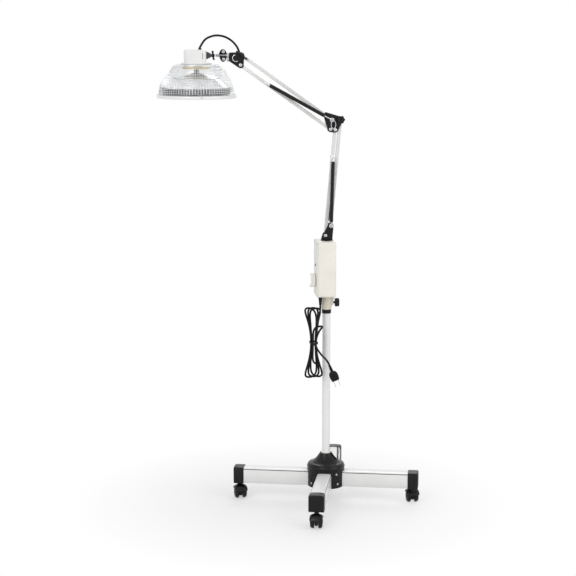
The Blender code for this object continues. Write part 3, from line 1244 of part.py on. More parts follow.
def make_wrist(upper):
    wrist = pivot("wrist_level", WRIST_C, upper)
    corner = BRACKET_CORNER_RADIUS
    left = WRIST_C.x - HEAD_BRACKET_REACH + corner
    low, high = WRIST_C.z + HEAD_BRACKET_BOTTOM, WRIST_C.z + HEAD_BRACKET_TOP
    lobes = [(*flat(WRIST_C), HEAD_LOBE_RADIUS), (*flat(WRIST_D), BRACKET_LOBE_RADIUS),
             (left, low + corner, corner), (left, high - corner, corner)]
    web_length = HEAD_BRACKET_REACH - HEAD_WEB_END
    web = block((web_length, 2 * CHEEK_OUTER, high - low - corner),
                (WRIST_C.x - HEAD_WEB_END - web_length / 2, 0, (low + high) / 2))
    bore = along_x(rod(ROD_BORE_RADIUS, -HEAD_BRACKET_REACH - OVERRUN, -HEAD_WEB_BORE_END))
    moved(bore, offset=(WRIST_C.x, 0, ROD_AXIS.z))
    bracket = carved([web, *cheeks(lobes), rivet(WRIST_C), stud(WRIST_D)], [bore])
    piece("head_bracket", bracket, black_enamel(), wrist)
    knob = pivot("bracket_knob_turn", WRIST_D, wrist)
    wings = wing_knob(PIN_HOLE_RADIUS, STUD_REACH - CHEEK_OUTER + GAP, BRACKET_WING_REACH)
    moved(along_y(moved(wings, turn=math.radians(BRACKET_KNOB_TURN_DEG))),
          offset=WRIST_D - Vector((0, CHEEK_OUTER + GAP, 0)))
    piece("bracket_knob", wings, black_plastic(), knob)
    make_jaws(wrist)
    return wrist


def make_knuckle(head):
    """Fork on the side of the cap that holds the rod's eye on the tilt pin."""
    half_z = KNUCKLE_HEIGHT / 2 - KNUCKLE_CORNER
    left = -CAP_SIDE_FROM_TILT + GAP + KNUCKLE_CORNER
    half_y = KNUCKLE_WIDTH / 2
    fork = along_y(prism(circles_hull([(0, 0, KNUCKLE_REACH), (left, half_z, KNUCKLE_CORNER),
                                       (left, -half_z, KNUCKLE_CORNER)]), -half_y, half_y))
    slot_half = ROD_EYE_WIDTH / 2 + KNUCKLE_SLOT_CLEARANCE
    slot_start = -ROD_EYE_RADIUS - 2 * KNUCKLE_SLOT_CLEARANCE
    slot_length = KNUCKLE_REACH - slot_start + OVERRUN
    slot = block((slot_length, 2 * slot_half, KNUCKLE_HEIGHT + OVERRUN), (slot_start + slot_length / 2, 0, 0))
    pin = along_y(rod(KNUCKLE_PIN_RADIUS, -half_y + KNUCKLE_CORNER, half_y - KNUCKLE_CORNER))
    forked = carved([fork], [slot])
    piece("knuckle", moved(carved([forked, pin]), offset=TILT), grey_ceramic(), head)


def make_cap(head):
    top, low = CAP_BODY_TOP, FLANGE_THICKNESS - FLANGE_DROP
    outline = rounded_outline(CAP_BODY_HALF_X, CAP_BODY_HALF_Y, CAP_BODY_CORNER)
    inner = rounded_outline(CAP_BODY_HALF_X - CAP_BODY_EDGE, CAP_BODY_HALF_Y - CAP_BODY_EDGE,
                            CAP_BODY_CORNER - CAP_BODY_EDGE)
    body = loft([[(x, y, -FLANGE_DROP + GAP) for x, y in outline],
                 [(x, y, top - CAP_BODY_EDGE) for x, y in outline], [(x, y, top) for x, y in inner]])
    flange = rod(FLANGE_RADIUS, -FLANGE_DROP, low, ROUND_SIDES)
    cavity = prism(inner, low, top - HEAD_CAP_WALL)
    hole = rod(FLANGE_HOLE_RADIUS, -FLANGE_DROP - OVERRUN, low + OVERRUN)
    slot_low, slot_high = low + CAP_SLOT_LOW, top - CAP_SLOT_HIGH
    slot = block((CAP_SLOT_WIDTH, 2 * CAP_SLOT_DEPTH, slot_high - slot_low),
                 (CAP_BODY_HALF_X - CAP_SLOT_FROM_SIDE, -CAP_BODY_HALF_Y, (slot_low + slot_high) / 2))
    shift = (HEAD_CENTRE_FROM_TILT - CAP_SIDE_FROM_TILT - CAP_BODY_HALF_X, 0, 0)
    for part_of_cap in (body, cavity, slot):
        moved(part_of_cap, offset=shift)
    shell = carved([body, flange], [cavity, hole, slot])
    piece("head_cap", moved(shell, offset=HEAD), white_enamel(), head)


def lattice(name, rings, centre, thickness, finish, parent):
    """Net of square wires along rings of points and between them."""
    mesh = bmesh.new()
    loops = [[mesh.verts.new(point) for point in ring] for ring in rings]
    for start, end in zip(loops, loops[1:]):
        for step in range(len(start)):
            follow = (step + 1) % len(start)
            mesh.faces.new((start[step], start[follow], end[follow], end[step]))
    made = piece(name, moved(clean(mesh), offset=centre), finish, parent)
    net = made.modifiers.new("net", "WIREFRAME")
    net.thickness = thickness
    net.use_boundary = True
    net.use_even_offset = False
    net.use_replace = True
    return made


def circle_points(radius, height, count):
    return [(radius * math.cos(2 * math.pi * step / count), radius * math.sin(2 * math.pi * step / count), height)
            for step in range(count)]


def make_head(roll):
    head = pivot("head_tilt", TILT, roll)
    make_knuckle(head)
    make_cap(head)
    rings = [circle_points(radius, -drop, HOOD_BARS) for radius, drop in zip(HOOD_RADII, HOOD_DROPS)]
    lattice("guard_hood", rings, HEAD, HOOD_WIRE, bright_steel(), head)

    low, high = -RIM_BOTTOM_DROP, RIM_HEIGHT - RIM_BOTTOM_DROP
    inner = RIM_RADIUS - RIM_WALL
    ledge = RIM_RADIUS - RIM_LEDGE
    band = turned([(inner, low), (RIM_RADIUS, low), (RIM_RADIUS, high), (ledge, high),
                   (ledge, high - RIM_LEDGE_THICKNESS), (inner, high - RIM_LEDGE_THICKNESS)], closed=True)
    piece("guard_rim", moved(band, offset=HEAD), white_enamel(), head)

    outside = [(radius, -drop) for radius, drop in zip(REFLECTOR_RADII, REFLECTOR_DROPS)]
    inside = [(radius, REFLECTOR_WALL - drop) for radius, drop in zip(REFLECTOR_RADII, REFLECTOR_DROPS)]
    bowl = turned(outside + inside[::-1], closed=True)
    piece("reflector", moved(bowl, offset=HEAD), bright_steel(), head)

    seat = -FLANGE_DROP - GAP
    bottom = -HEATER_DROP
    plate = turned([(0, bottom), (HEATER_RADIUS, bottom), (HEATER_RADIUS, bottom + HEATER_THICKNESS),
                    (HEATER_STUD_RADIUS, bottom + HEATER_THICKNESS), (HEATER_STUD_RADIUS, seat), (0, seat)])
    piece("heater_plate", moved(plate, offset=HEAD), grey_ceramic(), head)
    ring = tube(INSULATOR_RADIUS, INSULATOR_RADIUS - INSULATOR_WALL, seat - INSULATOR_HEIGHT, seat)
    piece("insulator_ring", moved(ring, offset=HEAD), amber_ceramic(), head)

    guard_drop = RIM_BOTTOM_DROP - RIM_HEIGHT + RIM_LEDGE_THICKNESS + GAP + GUARD_WIRE / 2
    guard_radius = inner - GAP - GUARD_WIRE / 2
    rings = []
    for number in range(GUARD_RINGS + 1):
        radius = GUARD_PLATE_RADIUS + (guard_radius - GUARD_PLATE_RADIUS) * number / GUARD_RINGS
        rings.append(circle_points(radius, -guard_drop, 2 * GUARD_SPOKES))
    lattice("bottom_guard", rings, HEAD, GUARD_WIRE, bright_steel(), head)


def make_head_lead(wrist):
    start = HEAD + Vector((LEAD_EXIT_FROM_CENTRE, 0, CAP_BODY_TOP + GAP))
    end = WRIST_D + UPPER_DIRECTION * (BAR_END + GAP)
    straight = start + Vector((0, 0, 2 * LEAD_RADIUS))
    places = [start, straight, *[start + Vector((x, 0, z)) for x, z in LEAD_PLACES], end]
    points = smooth_points(places, LEAD_POINTS)
    cord("head_lead", points, LEAD_RADIUS, black_rubber(), wrist)
    print(f"head lead: {length_of(points):.3f} m")


def remove_scene_objects():
    for item in list(bpy.data.objects):
        bpy.data.objects.remove(item)


def build():
    remove_scene_objects()
    stand = pivot("stand", POLE)
    make_legs(stand)
    make_leg_end_caps(stand)
    make_hub(stand)
    make_pole_fittings(stand)
    make_casters(stand)
    box = pivot("box_turn", POLE, stand)
    make_box(box)
    make_socket(box)
    make_clamp_knob(box)
    make_timer(box)
    make_cord(box)
    fold = make_lower_arm(box)
    upper = make_elbow(fold)
    wrist = make_wrist(upper)
    roll = make_rod(wrist)
    make_head(roll)
    make_head_lead(wrist)


build()
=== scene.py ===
# %% [markdown]
# # An infrared heat lamp on a wheeled stand
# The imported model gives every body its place, in metres, and it stays fixed. This lesson dresses it:
# each cell first says what a piece is on the real lamp, then makes its surface with numpy and its
# finish with shader nodes.

import bmesh
import bpy
import numpy as np
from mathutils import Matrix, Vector


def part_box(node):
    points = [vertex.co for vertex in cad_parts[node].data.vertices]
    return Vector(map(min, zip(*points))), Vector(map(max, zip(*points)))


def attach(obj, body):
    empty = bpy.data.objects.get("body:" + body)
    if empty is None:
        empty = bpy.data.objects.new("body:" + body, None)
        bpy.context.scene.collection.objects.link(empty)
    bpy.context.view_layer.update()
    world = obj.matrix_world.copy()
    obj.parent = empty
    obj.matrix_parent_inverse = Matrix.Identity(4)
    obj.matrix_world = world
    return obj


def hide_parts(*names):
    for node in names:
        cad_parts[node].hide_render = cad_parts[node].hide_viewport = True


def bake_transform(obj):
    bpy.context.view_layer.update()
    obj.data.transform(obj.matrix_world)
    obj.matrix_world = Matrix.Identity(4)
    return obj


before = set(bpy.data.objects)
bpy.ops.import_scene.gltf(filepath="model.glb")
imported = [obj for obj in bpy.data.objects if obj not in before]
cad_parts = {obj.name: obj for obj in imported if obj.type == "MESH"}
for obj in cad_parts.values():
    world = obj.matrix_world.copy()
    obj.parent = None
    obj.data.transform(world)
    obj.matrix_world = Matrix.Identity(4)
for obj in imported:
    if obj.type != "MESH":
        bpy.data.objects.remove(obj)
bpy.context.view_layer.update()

# %% [markdown]
# ## Camera
# The photograph was taken from about four metres, a little above the middle of the lamp and ten
# degrees downwards. A long lens keeps the pole straight, so the camera gets one of about 100 mm.
# The lamp itself stands turned a little, which here turns the camera round it instead.

# %% Camera
POLE = np.array([0.099, 0.0, 0.0])
TURN = np.radians(-5.5)
CAMERA_SIDE, CAMERA_BACK, CAMERA_HEIGHT = -0.104, -4.33, 1.356
PITCH = np.radians(10.0)
FOCAL_PIXELS, FRAME_PIXELS, SENSOR = 1630.0, 576.0, 36.0

camera_data = bpy.data.cameras.new("camera")
camera_data.sensor_width = SENSOR
camera_data.lens = FOCAL_PIXELS / FRAME_PIXELS * SENSOR
camera = bpy.data.objects.new("camera", camera_data)
bpy.context.scene.collection.objects.link(camera)
cos_turn, sin_turn = np.cos(TURN), np.sin(TURN)
camera.location = (POLE[0] + CAMERA_SIDE * cos_turn - CAMERA_BACK * sin_turn,
                   CAMERA_SIDE * sin_turn + CAMERA_BACK * cos_turn, CAMERA_HEIGHT)
camera.rotation_euler = (np.pi / 2 - PITCH, 0.0, TURN)
bpy.context.scene.camera = camera
print("lens:", round(camera_data.lens, 1), "mm")

# %% [markdown]
# ## Building blocks for surfaces
# Almost every piece is a grid of points: one parameter runs along it and the other round it.
# These helpers turn such grids into meshes, so that each piece only has to say its formula.

# %% Grids, outlines and meshes


def net(points, wrap_rows=False, wrap_columns=True, caps=False):
    """Joins a grid of points, rows by columns, with quads; caps close the first and last row."""
    rows, columns = points.shape[:2]
    index = np.arange(rows * columns).reshape(rows, columns)
    low, high = (index, np.roll(index, -1, 0)) if wrap_rows else (index[:-1], index[1:])
    if wrap_columns:
        quads = np.stack([low, np.roll(low, -1, 1), np.roll(high, -1, 1), high], -1)
    else:
        quads = np.stack([low[:, :-1], low[:, 1:], high[:, 1:], high[:, :-1]], -1)
    faces = quads.reshape(-1, 4).tolist()
    if caps:
        faces += [index[0, ::-1].tolist(), index[-1].tolist()]
    return points.reshape(-1, 3), faces


def joined(parts):
    """Puts several (points, faces) together into one."""
    points, faces, start = [], [], 0
    for part_points, part_faces in parts:
        points.append(part_points)
        faces += [[corner + start for corner in face] for face in part_faces]
        start += len(part_points)
    return np.concatenate(points), faces


def placed(points, origin=(0, 0, 0), x=(1, 0, 0), y=(0, 1, 0), z=(0, 0, 1)):
    """Carries local points to origin + px * x + py * y + pz * z."""
    return np.asarray(origin, float) + np.asarray(points, float) @ np.array([x, y, z], float)


def moved(part, **where):
    return placed(part[0], **where), part[1]


def circle(count):
    """Angles at even steps round a full turn."""
    return np.linspace(0, 2 * np.pi, count, endpoint=False)


def spun(radius, angle, z):
    """Points at a radius and an angle round z, at a height."""
    return np.stack(np.broadcast_arrays(radius * np.cos(angle), radius * np.sin(angle), z), -1)


def facing(degrees):
    """Axes turned round z by an angle."""
    c, s = np.cos(np.radians(degrees)), np.sin(np.radians(degrees))
    return {"x": (c, s, 0), "y": (-s, c, 0), "z": (0, 0, 1)}


def power(value, exponent):
    """Power that keeps the sign: it squares up a circle's cosine and sine."""
    return np.sign(value) * np.abs(value) ** exponent


def turned(profile, sides=72, ring=False):
    """Surface of revolution: (r cos a, r sin a, z) for each (r, z) of the profile and each angle a."""
    r, z = np.array(profile, float).T
    a = circle(sides)
    return net(spun(r[:, None], a, z[:, None]), wrap_rows=ring, caps=not ring)


def rounded(profile, radius, steps=4):
    """Open profile whose inner corners become arcs: each corner gets points on a quadratic curve."""
    profile = np.array(profile, float)
    before, corner, after = profile[:-2], profile[1:-1], profile[2:]
    back, ahead = before - corner, after - corner
    back_length = np.linalg.norm(back, axis=1, keepdims=True)
    ahead_length = np.linalg.norm(ahead, axis=1, keepdims=True)
    start = corner + back / back_length * np.minimum(radius, 0.45 * back_length)
    end = corner + ahead / ahead_length * np.minimum(radius, 0.45 * ahead_length)
    t = np.linspace(0, 1, steps)[:, None, None]
    arcs = (1 - t) ** 2 * start + 2 * t * (1 - t) * corner + t ** 2 * end
    return np.concatenate([profile[:1], arcs.transpose(1, 0, 2).reshape(-1, 2), profile[-1:]])


def lathe(profile, sides=72, soft=0.0, steps=4, ring=False, **where):
    """Turned body whose profile gets soft corners, carried to its place."""
    return moved(turned(rounded(profile, soft, steps) if soft else profile, sides, ring), **where)


def at_height(ring, z):
    """Points (x, y) of an outline, all at one height."""
    return np.column_stack([ring, np.full(len(ring), z)])


def outline(half_x, half_y, corner, steps=7):
    """Rectangle with round corners: each quarter circle is centred a corner radius inside."""
    quarter = np.arange(4).repeat(steps)
    a = (quarter + np.tile(np.linspace(0, 1, steps), 4)) * np.pi / 2
    sign_x = np.array([1, -1, -1, 1])[quarter]
    sign_y = np.array([1, 1, -1, -1])[quarter]
    return np.stack([sign_x * (half_x - corner) + corner * np.cos(a),
                     sign_y * (half_y - corner) + corner * np.sin(a)], -1)


def soft_block(half, corner, edge, steps=6):
    """Block with round corners and edges: outlines that shrink by an edge radius in quarter circles."""
    f = np.concatenate([np.linspace(-np.pi / 2, 0, steps), np.linspace(0, np.pi / 2, steps)])
    shrink = edge * (1 - np.cos(f))
    z = np.where(np.arange(2 * steps) < steps, -1, 1) * (half[2] - edge) + edge * np.sin(f)
    rings = np.stack([outline(half[0] - s, half[1] - s, max(corner - s, edge * 0.02)) for s in shrink])
    return net(np.concatenate([rings, np.broadcast_to(z[:, None, None], rings.shape[:2] + (1,))], -1),
               caps=True)


def hull(circles, steps=24):
    """Convex outline round circles (x, y, r): for each direction, the farthest circle's point."""
    a = circle(8 * steps)
    way = np.stack([np.cos(a), np.sin(a)], -1)
    c = np.array(circles, float)
    far = (way @ c[:, :2].T + c[:, 2]).argmax(1)
    points = c[far, :2] + c[far, 2:] * way
    keep = np.linalg.norm(points - np.roll(points, 1, 0), axis=1) > 1e-6
    return points[keep]


def slab(shape, low, high, edge=0.0):
    """Outline carried from low to high along z, with chamfered edges drawn in towards its middle."""
    middle = shape.mean(0)
    inward = middle - shape
    inward /= np.linalg.norm(inward, axis=1, keepdims=True)
    heights = [low, low + edge, high - edge, high] if edge else [low, high]
    insets = [edge, 0, 0, edge] if edge else [0, 0]
    rows = [at_height(shape + inward * inset, z) for z, inset in zip(heights, insets)]
    return net(np.stack(rows), caps=True)


def swept(path, radius, side, sides=10):
    """Tube along a path: at each point a circle in the plane of a side vector and its cross product."""
    path, side = np.asarray(path, float), np.broadcast_to(np.asarray(side, float), np.shape(path))
    ahead = np.gradient(path, axis=0)
    ahead /= np.linalg.norm(ahead, axis=1, keepdims=True)
    side = side - (side * ahead).sum(1, keepdims=True) * ahead
    side /= np.linalg.norm(side, axis=1, keepdims=True)
    other = np.cross(ahead, side)
    a = circle(sides)[:, None]
    radius = np.broadcast_to(radius, len(path))[:, None, None]
    points = path[:, None] + radius * (side[:, None] * np.cos(a) + other[:, None] * np.sin(a))
    return net(points, caps=True)


def shown(name, part, finish, sharp, weld=False, outward=False):
    """Makes the object: smooth faces with sharp edges above an angle, and one finish."""
    points, faces = part
    mesh = bpy.data.meshes.new(name)
    mesh.from_pydata(np.asarray(points, float).tolist(), [], faces)
    if weld:
        work = bmesh.new()
        work.from_mesh(mesh)
        bmesh.ops.remove_doubles(work, verts=work.verts, dist=1e-7)
        if outward:
            bmesh.ops.recalc_face_normals(work, faces=work.faces)
        work.to_mesh(mesh)
        work.free()
    mesh.shade_smooth()
    mesh.set_sharp_from_angle(angle=np.radians(sharp))
    mesh.materials.append(finish)
    made = bpy.data.objects.new(name, mesh)
    bpy.context.scene.collection.objects.link(made)
    return made


def named(made, replaces):
    """Hides the node of the model that the piece stands for."""
    if replaces:
        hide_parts(replaces)
    return made


def piece(name, part, finish, body, replaces=None, sharp=38.0, outward=True):
    """A rigid piece that rides one body."""
    made = shown(name, part, finish, sharp, True, outward)
    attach(made, body)
    return named(made, replaces)


def bent_piece(name, part, finish, replaces=None, sharp=38.0):
    """A piece that follows two bodies across their joint, from start to end; its mesh has no parent."""
    made = shown(name, part, finish, sharp)
    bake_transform(made)
    return named(made, replaces)


ALONG_X = {"x": (0, 0, -1), "y": (0, 1, 0), "z": (1, 0, 0)}
ALONG_MINUS_X = {"x": (0, 0, 1), "y": (0, 1, 0), "z": (-1, 0, 0)}
ALONG_MINUS_Y = {"x": (1, 0, 0), "y": (0, 0, 1), "z": (0, -1, 0)}
ALONG_PLUS_Y = {"x": (-1, 0, 0), "y": (0, 0, 1), "z": (0, 1, 0)}
print("helpers ready")

# %% [markdown]
# ## Finishes
# The lamp has few materials: white powder enamel on steel, black and beige moulded plastic, zinc
# plated steel, wire, rubber and two ceramics. Each is built from its common look: a base colour that
# drifts a little, a roughness that varies with handling, and a fine bump from how it was made.


def linear(text):
    """Turns an sRGB hex value into the linear colour that shaders use."""
    value = np.array([int(text[i:i + 2], 16) for i in (1, 3, 5)]) / 255
    value = np.where(value <= 0.04045, value / 12.92, ((value + 0.055) / 1.055) ** 2.4)
    return (*value.tolist(), 1.0)


def add(tree, kind, inputs=None, **settings):
    """Adds a node, sets its settings, and links or sets its inputs."""
    node = tree.nodes.new(kind)
    for key, value in settings.items():
        setattr(node, key, value)
    for key, value in (inputs or {}).items():
        if isinstance(value, bpy.types.NodeSocket):
            tree.links.new(value, node.inputs[key])
        else:
            node.inputs[key].default_value = value
    return node


def finish_of(name, light, dark, drift_mm, rough, grain_mm, bump, metallic=0.0, ior=None,
              stretch=(1, 1, 1), coat=0.0, gloss=0.5):
    """A finish with a drifting colour, a varying roughness and a fine grain, all in real sizes."""
    made = bpy.data.materials.new(name)
    made.use_nodes = True
    tree = made.node_tree
    shader = tree.nodes["Principled BSDF"]
    where = add(tree, "ShaderNodeTexCoord").outputs["Object"]
    where = add(tree, "ShaderNodeMapping", {"Vector": where, "Scale": stretch}).outputs["Vector"]
    drift = add(tree, "ShaderNodeTexNoise", {"Vector": where, "Scale": 1000 / drift_mm, "Detail": 4.0})
    grain = add(tree, "ShaderNodeTexNoise", {"Vector": where, "Scale": 1000 / grain_mm, "Detail": 3.0})
    ramp = add(tree, "ShaderNodeValToRGB", {"Fac": drift.outputs["Fac"]})
    ramp.color_ramp.elements[0].position, ramp.color_ramp.elements[1].position = 0.3, 0.7
    ramp.color_ramp.elements[0].color, ramp.color_ramp.elements[1].color = linear(dark), linear(light)
    spread = add(tree, "ShaderNodeMapRange", {"Value": drift.outputs["Fac"], "From Min": 0.3, "From Max": 0.7,
                                              "To Min": rough[0], "To Max": rough[1]})
    height = add(tree, "ShaderNodeBump", {"Height": grain.outputs["Fac"], "Strength": bump,
                                          "Distance": grain_mm / 4000})
    tree.links.new(ramp.outputs["Color"], shader.inputs["Base Color"])
    tree.links.new(spread.outputs["Result"], shader.inputs["Roughness"])
    tree.links.new(height.outputs["Normal"], shader.inputs["Normal"])
    shader.inputs["Metallic"].default_value = metallic
    shader.inputs["Specular IOR Level"].default_value = gloss
    if ior:
        shader.inputs["IOR"].default_value = ior
    if coat:
        shader.inputs["Coat Weight"].default_value = coat
        shader.inputs["Coat Roughness"].default_value = rough[0] / 2
    return made


# %% [markdown]
# White powder enamel is baked on steel: near white, smooth with a faint orange peel of about 2 mm. The
# arm's bars get a darker copy of it, which is painted shade.
# The black plastic is ABS from a polished mould, the beige one ABS from a spark-eroded mould with a
# fine matt texture. Zinc plating is a cool bright grey with soft brushing, drawn coarser than real.

# %% The finishes
white_enamel = finish_of("white_powder_enamel", "#EEEEED", "#E7E7E6", 60, (0.28, 0.36), 2.0,
                         0.05, coat=0.25)
# A darker copy of the white enamel for the arm's bars: painted shade.
shaded_bar_enamel = finish_of("white_enamel_shaded_for_bars", "#DEDEDC", "#D3D3D1", 45, (0.28, 0.36), 2.0,
                       0.05, coat=0.2)
black_abs = finish_of("black_moulded_abs", "#0E0E0F", "#08080A", 25, (0.24, 0.36), 0.8, 0.1,
                      ior=1.5, gloss=0.26)
beige_abs = finish_of("beige_textured_abs", "#EFECE4", "#E9E5DC", 45, (0.42, 0.52), 0.7,
                      0.18, ior=1.5)
# A darker copy of the beige ABS for the socket under the box: painted shade.
socket_shaded_abs = finish_of("beige_abs_painted_socket_shade", "#DDD6C8", "#D0C8B8", 30, (0.4, 0.5), 0.7, 0.18,
                     ior=1.5)
panel_abs = finish_of("grey_panel_sheet", "#E9E9E3", "#E2E2DB", 45, (0.38, 0.46), 0.6, 0.12,
                      ior=1.5)
black_enamel = finish_of("black_enamelled_steel", "#101011", "#0A0A0B", 20, (0.22, 0.32), 1.2,
                         0.06, ior=1.5, gloss=0.26)
zinc_steel = finish_of("zinc_plated_steel", "#C9CBCE", "#ABAEB2", 12, (0.2, 0.34), 0.5, 0.1,
                       metallic=1.0)
bright_wire = finish_of("bright_welded_wire", "#F0F1F2", "#E0E1E3", 15, (0.18, 0.3), 0.5, 0.06,
                        metallic=1.0)
spun_sheet = finish_of("spun_bright_sheet", "#F2F3F4", "#E4E6E8", 30, (0.22, 0.34), 1.0,
                       0.1, metallic=1.0, stretch=(1, 1, 6))
cord_rubber = finish_of("black_rubber_sheath", "#0A0A0B", "#060607", 18, (0.45, 0.58), 0.6,
                        0.15, ior=1.52, gloss=0.2)
tread_rubber = finish_of("hard_black_tread", "#0D0D0E", "#08080A", 15, (0.3, 0.42), 0.9, 0.15,
                         ior=1.52, gloss=0.26)
sleeve_vinyl = finish_of("black_vinyl_sleeve", "#0E0E0F", "#08080A", 18, (0.28, 0.4), 0.9,
                         0.12, ior=1.52, gloss=0.26)
amber_glaze = finish_of("amber_glazed_ceramic", "#E0CC7C", "#C9AF52", 14, (0.2, 0.32), 1.5, 0.06,
                        ior=1.55, coat=0.3)
mineral_plate = finish_of("grey_mineral_coating", "#6B6965", "#55534F", 9, (0.8, 0.92), 1.2,
                          0.55, ior=1.5)
cast_grey = finish_of("dark_grey_casting", "#4A4A4C", "#38383A", 9, (0.38, 0.5), 1.2, 0.2,
                      metallic=0.3)
# Blue-grey: the unlit pilot lens's own colour, and painted shade lining the cap's slot.
lens_grey_and_slot_shade = finish_of("blue_grey_lens_and_slot_shade", "#5B6470", "#4C545F", 12, (0.5, 0.6), 0.8, 0.1,
                       ior=1.5)

# %% [markdown]
# ## Mains cord
# A black two-core flex of about 5.3 mm leaves the gland under the box, is folded into a hank of four
# loops drawn in at a tie, and ends in a two-pin plug that hangs in front of the pole. The loops follow
# the part's own formula: a cosine carries the cord up and down, a pinched sine carries it sideways.

# %% The cord's route
CORD_RADIUS = 0.00265
GAP = 0.0003
BOX_BOTTOM, GLAND_LENGTH = 0.573, 0.023
GLAND_X, GLAND_Y = -0.0185, -0.0135
WAIST_X, WAIST_Z, HANK_BACK, PITCH_Y = -0.0385, 0.45, -0.018, 0.0062
HALF_WIDTH, PINCH, FLAT, KEEP = 0.0325, 0.82, 0.25, 0.1
BEND_X = np.array([-0.021, -0.0238, -0.031, -0.0376, -0.0403, -0.0505, -0.053, -0.029, -0.0205, -0.025])
BEND_REACH = np.array([0.095, 0.0965, 0.092, 0.095, 0.0945, 0.095, 0.0955, 0.057, 0.046, 0.06])
BEND_WIDTH = np.array([1.0, 1.0, 1.0, 1.0, 1.0, 1.0, 0.95, 0.66, 0.62, 0.62])
START_TURN, END_TURN = 0.25, 4.25
PLUG_TOP = POLE + (0.003, -0.0475, 0.389)
PLUG_LEAN = np.radians(22.6)


def at_bends(values, turn):
    """Eases from bend to bend, two bends to a turn: v0 + (v1 - v0) * s * s * (3 - 2 s)."""
    index = np.minimum(np.floor(turn * 2).astype(int), len(values) - 2)
    s = turn * 2 - index
    return values[index] + (values[index + 1] - values[index]) * s * s * (3 - 2 * s)


def hank(turn):
    c, s = np.cos(2 * np.pi * turn), np.sin(2 * np.pi * turn)
    middle = WAIST_X + (at_bends(BEND_X, turn) - WAIST_X) * (KEEP + (1 - KEEP) * c * c)
    x = middle + HALF_WIDTH * at_bends(BEND_WIDTH, turn) * s * (1 - PINCH * s * s)
    z = WAIST_Z + at_bends(BEND_REACH, turn) * (c * (1 + FLAT) - FLAT * c ** 3)
    return POLE + np.stack([x, HANK_BACK - PITCH_Y * turn, z], -1)


def smooth_path(knots, count):
    """Even steps along the Catmull-Rom curve through the knots."""
    knots = np.array(knots, float)
    ends = np.concatenate([[knots[0] * 2 - knots[1]], knots, [knots[-1] * 2 - knots[-2]]])
    t = np.linspace(0, 1, count, endpoint=False)[None, :, None]
    p0, p1, p2, p3 = (ends[i:len(knots) - 1 + i, None] for i in range(4))
    dense = 0.5 * (2 * p1 + (p2 - p0) * t + (2 * p0 - 5 * p1 + 4 * p2 - p3) * t ** 2
                   + (3 * p1 - p0 - 3 * p2 + p3) * t ** 3)
    dense = np.concatenate([dense.reshape(-1, 3), knots[-1:]])
    length = np.concatenate([[0], np.linalg.norm(np.diff(dense, axis=0), axis=1).cumsum()])
    want = np.linspace(0, length[-1], count)
    return np.stack([np.interp(want, length, dense[:, axis]) for axis in range(3)], -1)


hank_points = hank(np.linspace(START_TURN, END_TURN, 193))
into = hank_points[1] - hank_points[0]
into /= np.linalg.norm(into)
out = hank_points[-1] - hank_points[-2]
out /= np.linalg.norm(out)
gland_tip = POLE + (GLAND_X, GLAND_Y, BOX_BOTTOM - GAP - GLAND_LENGTH)
plug_axis = np.array([-np.sin(PLUG_LEAN), 0, np.cos(PLUG_LEAN)])
straight = 2 * CORD_RADIUS
lead_in = smooth_path([gland_tip - (0, 0, GAP), gland_tip - (0, 0, GAP + straight),
                       *(POLE + np.array([(-0.0193, -0.014, 0.53), (-0.0238, -0.0155, 0.508),
                                          (-0.0262, -0.0175, 0.49)])),
                       hank_points[0] - into * straight, hank_points[0] - into * GAP], 18)
tail = smooth_path([hank_points[-1] + out * GAP, hank_points[-1] + out * straight,
                    *(POLE + np.array([(-0.0285, -0.045, 0.432), (-0.0165, -0.0468, 0.416),
                                       (-0.005, -0.0475, 0.404)])),
                    PLUG_TOP + plug_axis * straight, PLUG_TOP + plug_axis * GAP], 18)
route = np.concatenate([lead_in, hank_points, tail])

# %% [markdown]
# The cord is one curve with one open spline, as a cable is one piece, with a round bevel for its sheath.

# %% The cord
flex_curve = bpy.data.curves.new("mains_flex", "CURVE")
flex_curve.dimensions = "3D"
flex_curve.bevel_depth = CORD_RADIUS
flex_curve.bevel_resolution = 5
flex_curve.use_fill_caps = True
spline = flex_curve.splines.new("POLY")
spline.points.add(len(route) - 1)
spline.points.foreach_set("co", np.column_stack([route, np.ones(len(route))]).ravel())
flex_curve.materials.append(cord_rubber)
mains_flex = bpy.data.objects.new("mains_flex", flex_curve)
bpy.context.scene.collection.objects.link(mains_flex)
spline.use_smooth = True
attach(mains_flex, "control_box")
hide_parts("cord_lead", "cord_hank", "cord_tail")

# %% [markdown]
# The plug is a slim moulded body with rounded corners, wider across the prongs than deep, that narrows
# into a ribbed strain relief. It leans as it hangs, so its points are placed on a leaning axis.

# %% The plug, its relief and the prongs
PLUG_AXES = {"x": np.array([np.cos(PLUG_LEAN), 0, np.sin(PLUG_LEAN)]), "y": np.array([0, 1.0, 0]),
             "z": plug_axis}
RELIEF, BODY = 0.018, 0.027


def oval_rings(sections, steps=10):
    """Rings of rounded outlines at given heights, lofted into one closed surface."""
    rings = [at_height(outline(half_x, half_y, corner, steps), z) for half_x, half_y, corner, z in sections]
    return net(np.array(rings), False, True, True)


plug_shape = oval_rings([(0.009, 0.005, 0.003, -RELIEF - BODY),
                         (0.0102, 0.0062, 0.0036, -RELIEF - BODY + 0.0006),
                         (0.0108, 0.0068, 0.004, -RELIEF - BODY + 0.0022),
                         (0.012, 0.008, 0.005, -RELIEF - 0.016), (0.0119, 0.0079, 0.0052, -RELIEF - 0.01),
                         (0.01, 0.0068, 0.0052, -RELIEF - 0.004), (0.0066, 0.0056, 0.0046, -RELIEF - 0.0008),
                         (0.0052, 0.005, 0.0042, -RELIEF)])
relief = [(0.0045, -RELIEF)]
for rib in range(5):
    low = -RELIEF + 0.0016 + rib * 0.0032
    radius = 0.0045 - 0.0002 * rib
    relief += [(radius - 0.0008, low), (radius - 0.0008, low + 0.0008), (radius, low + 0.0012),
               (radius, low + 0.0026)]
relief += [(0.0036, -0.0008), (0.0031, 0.0)]
relief_shape = turned([(0.0, -RELIEF - 0.001)] + relief + [(0.0, 0.0)], 32)
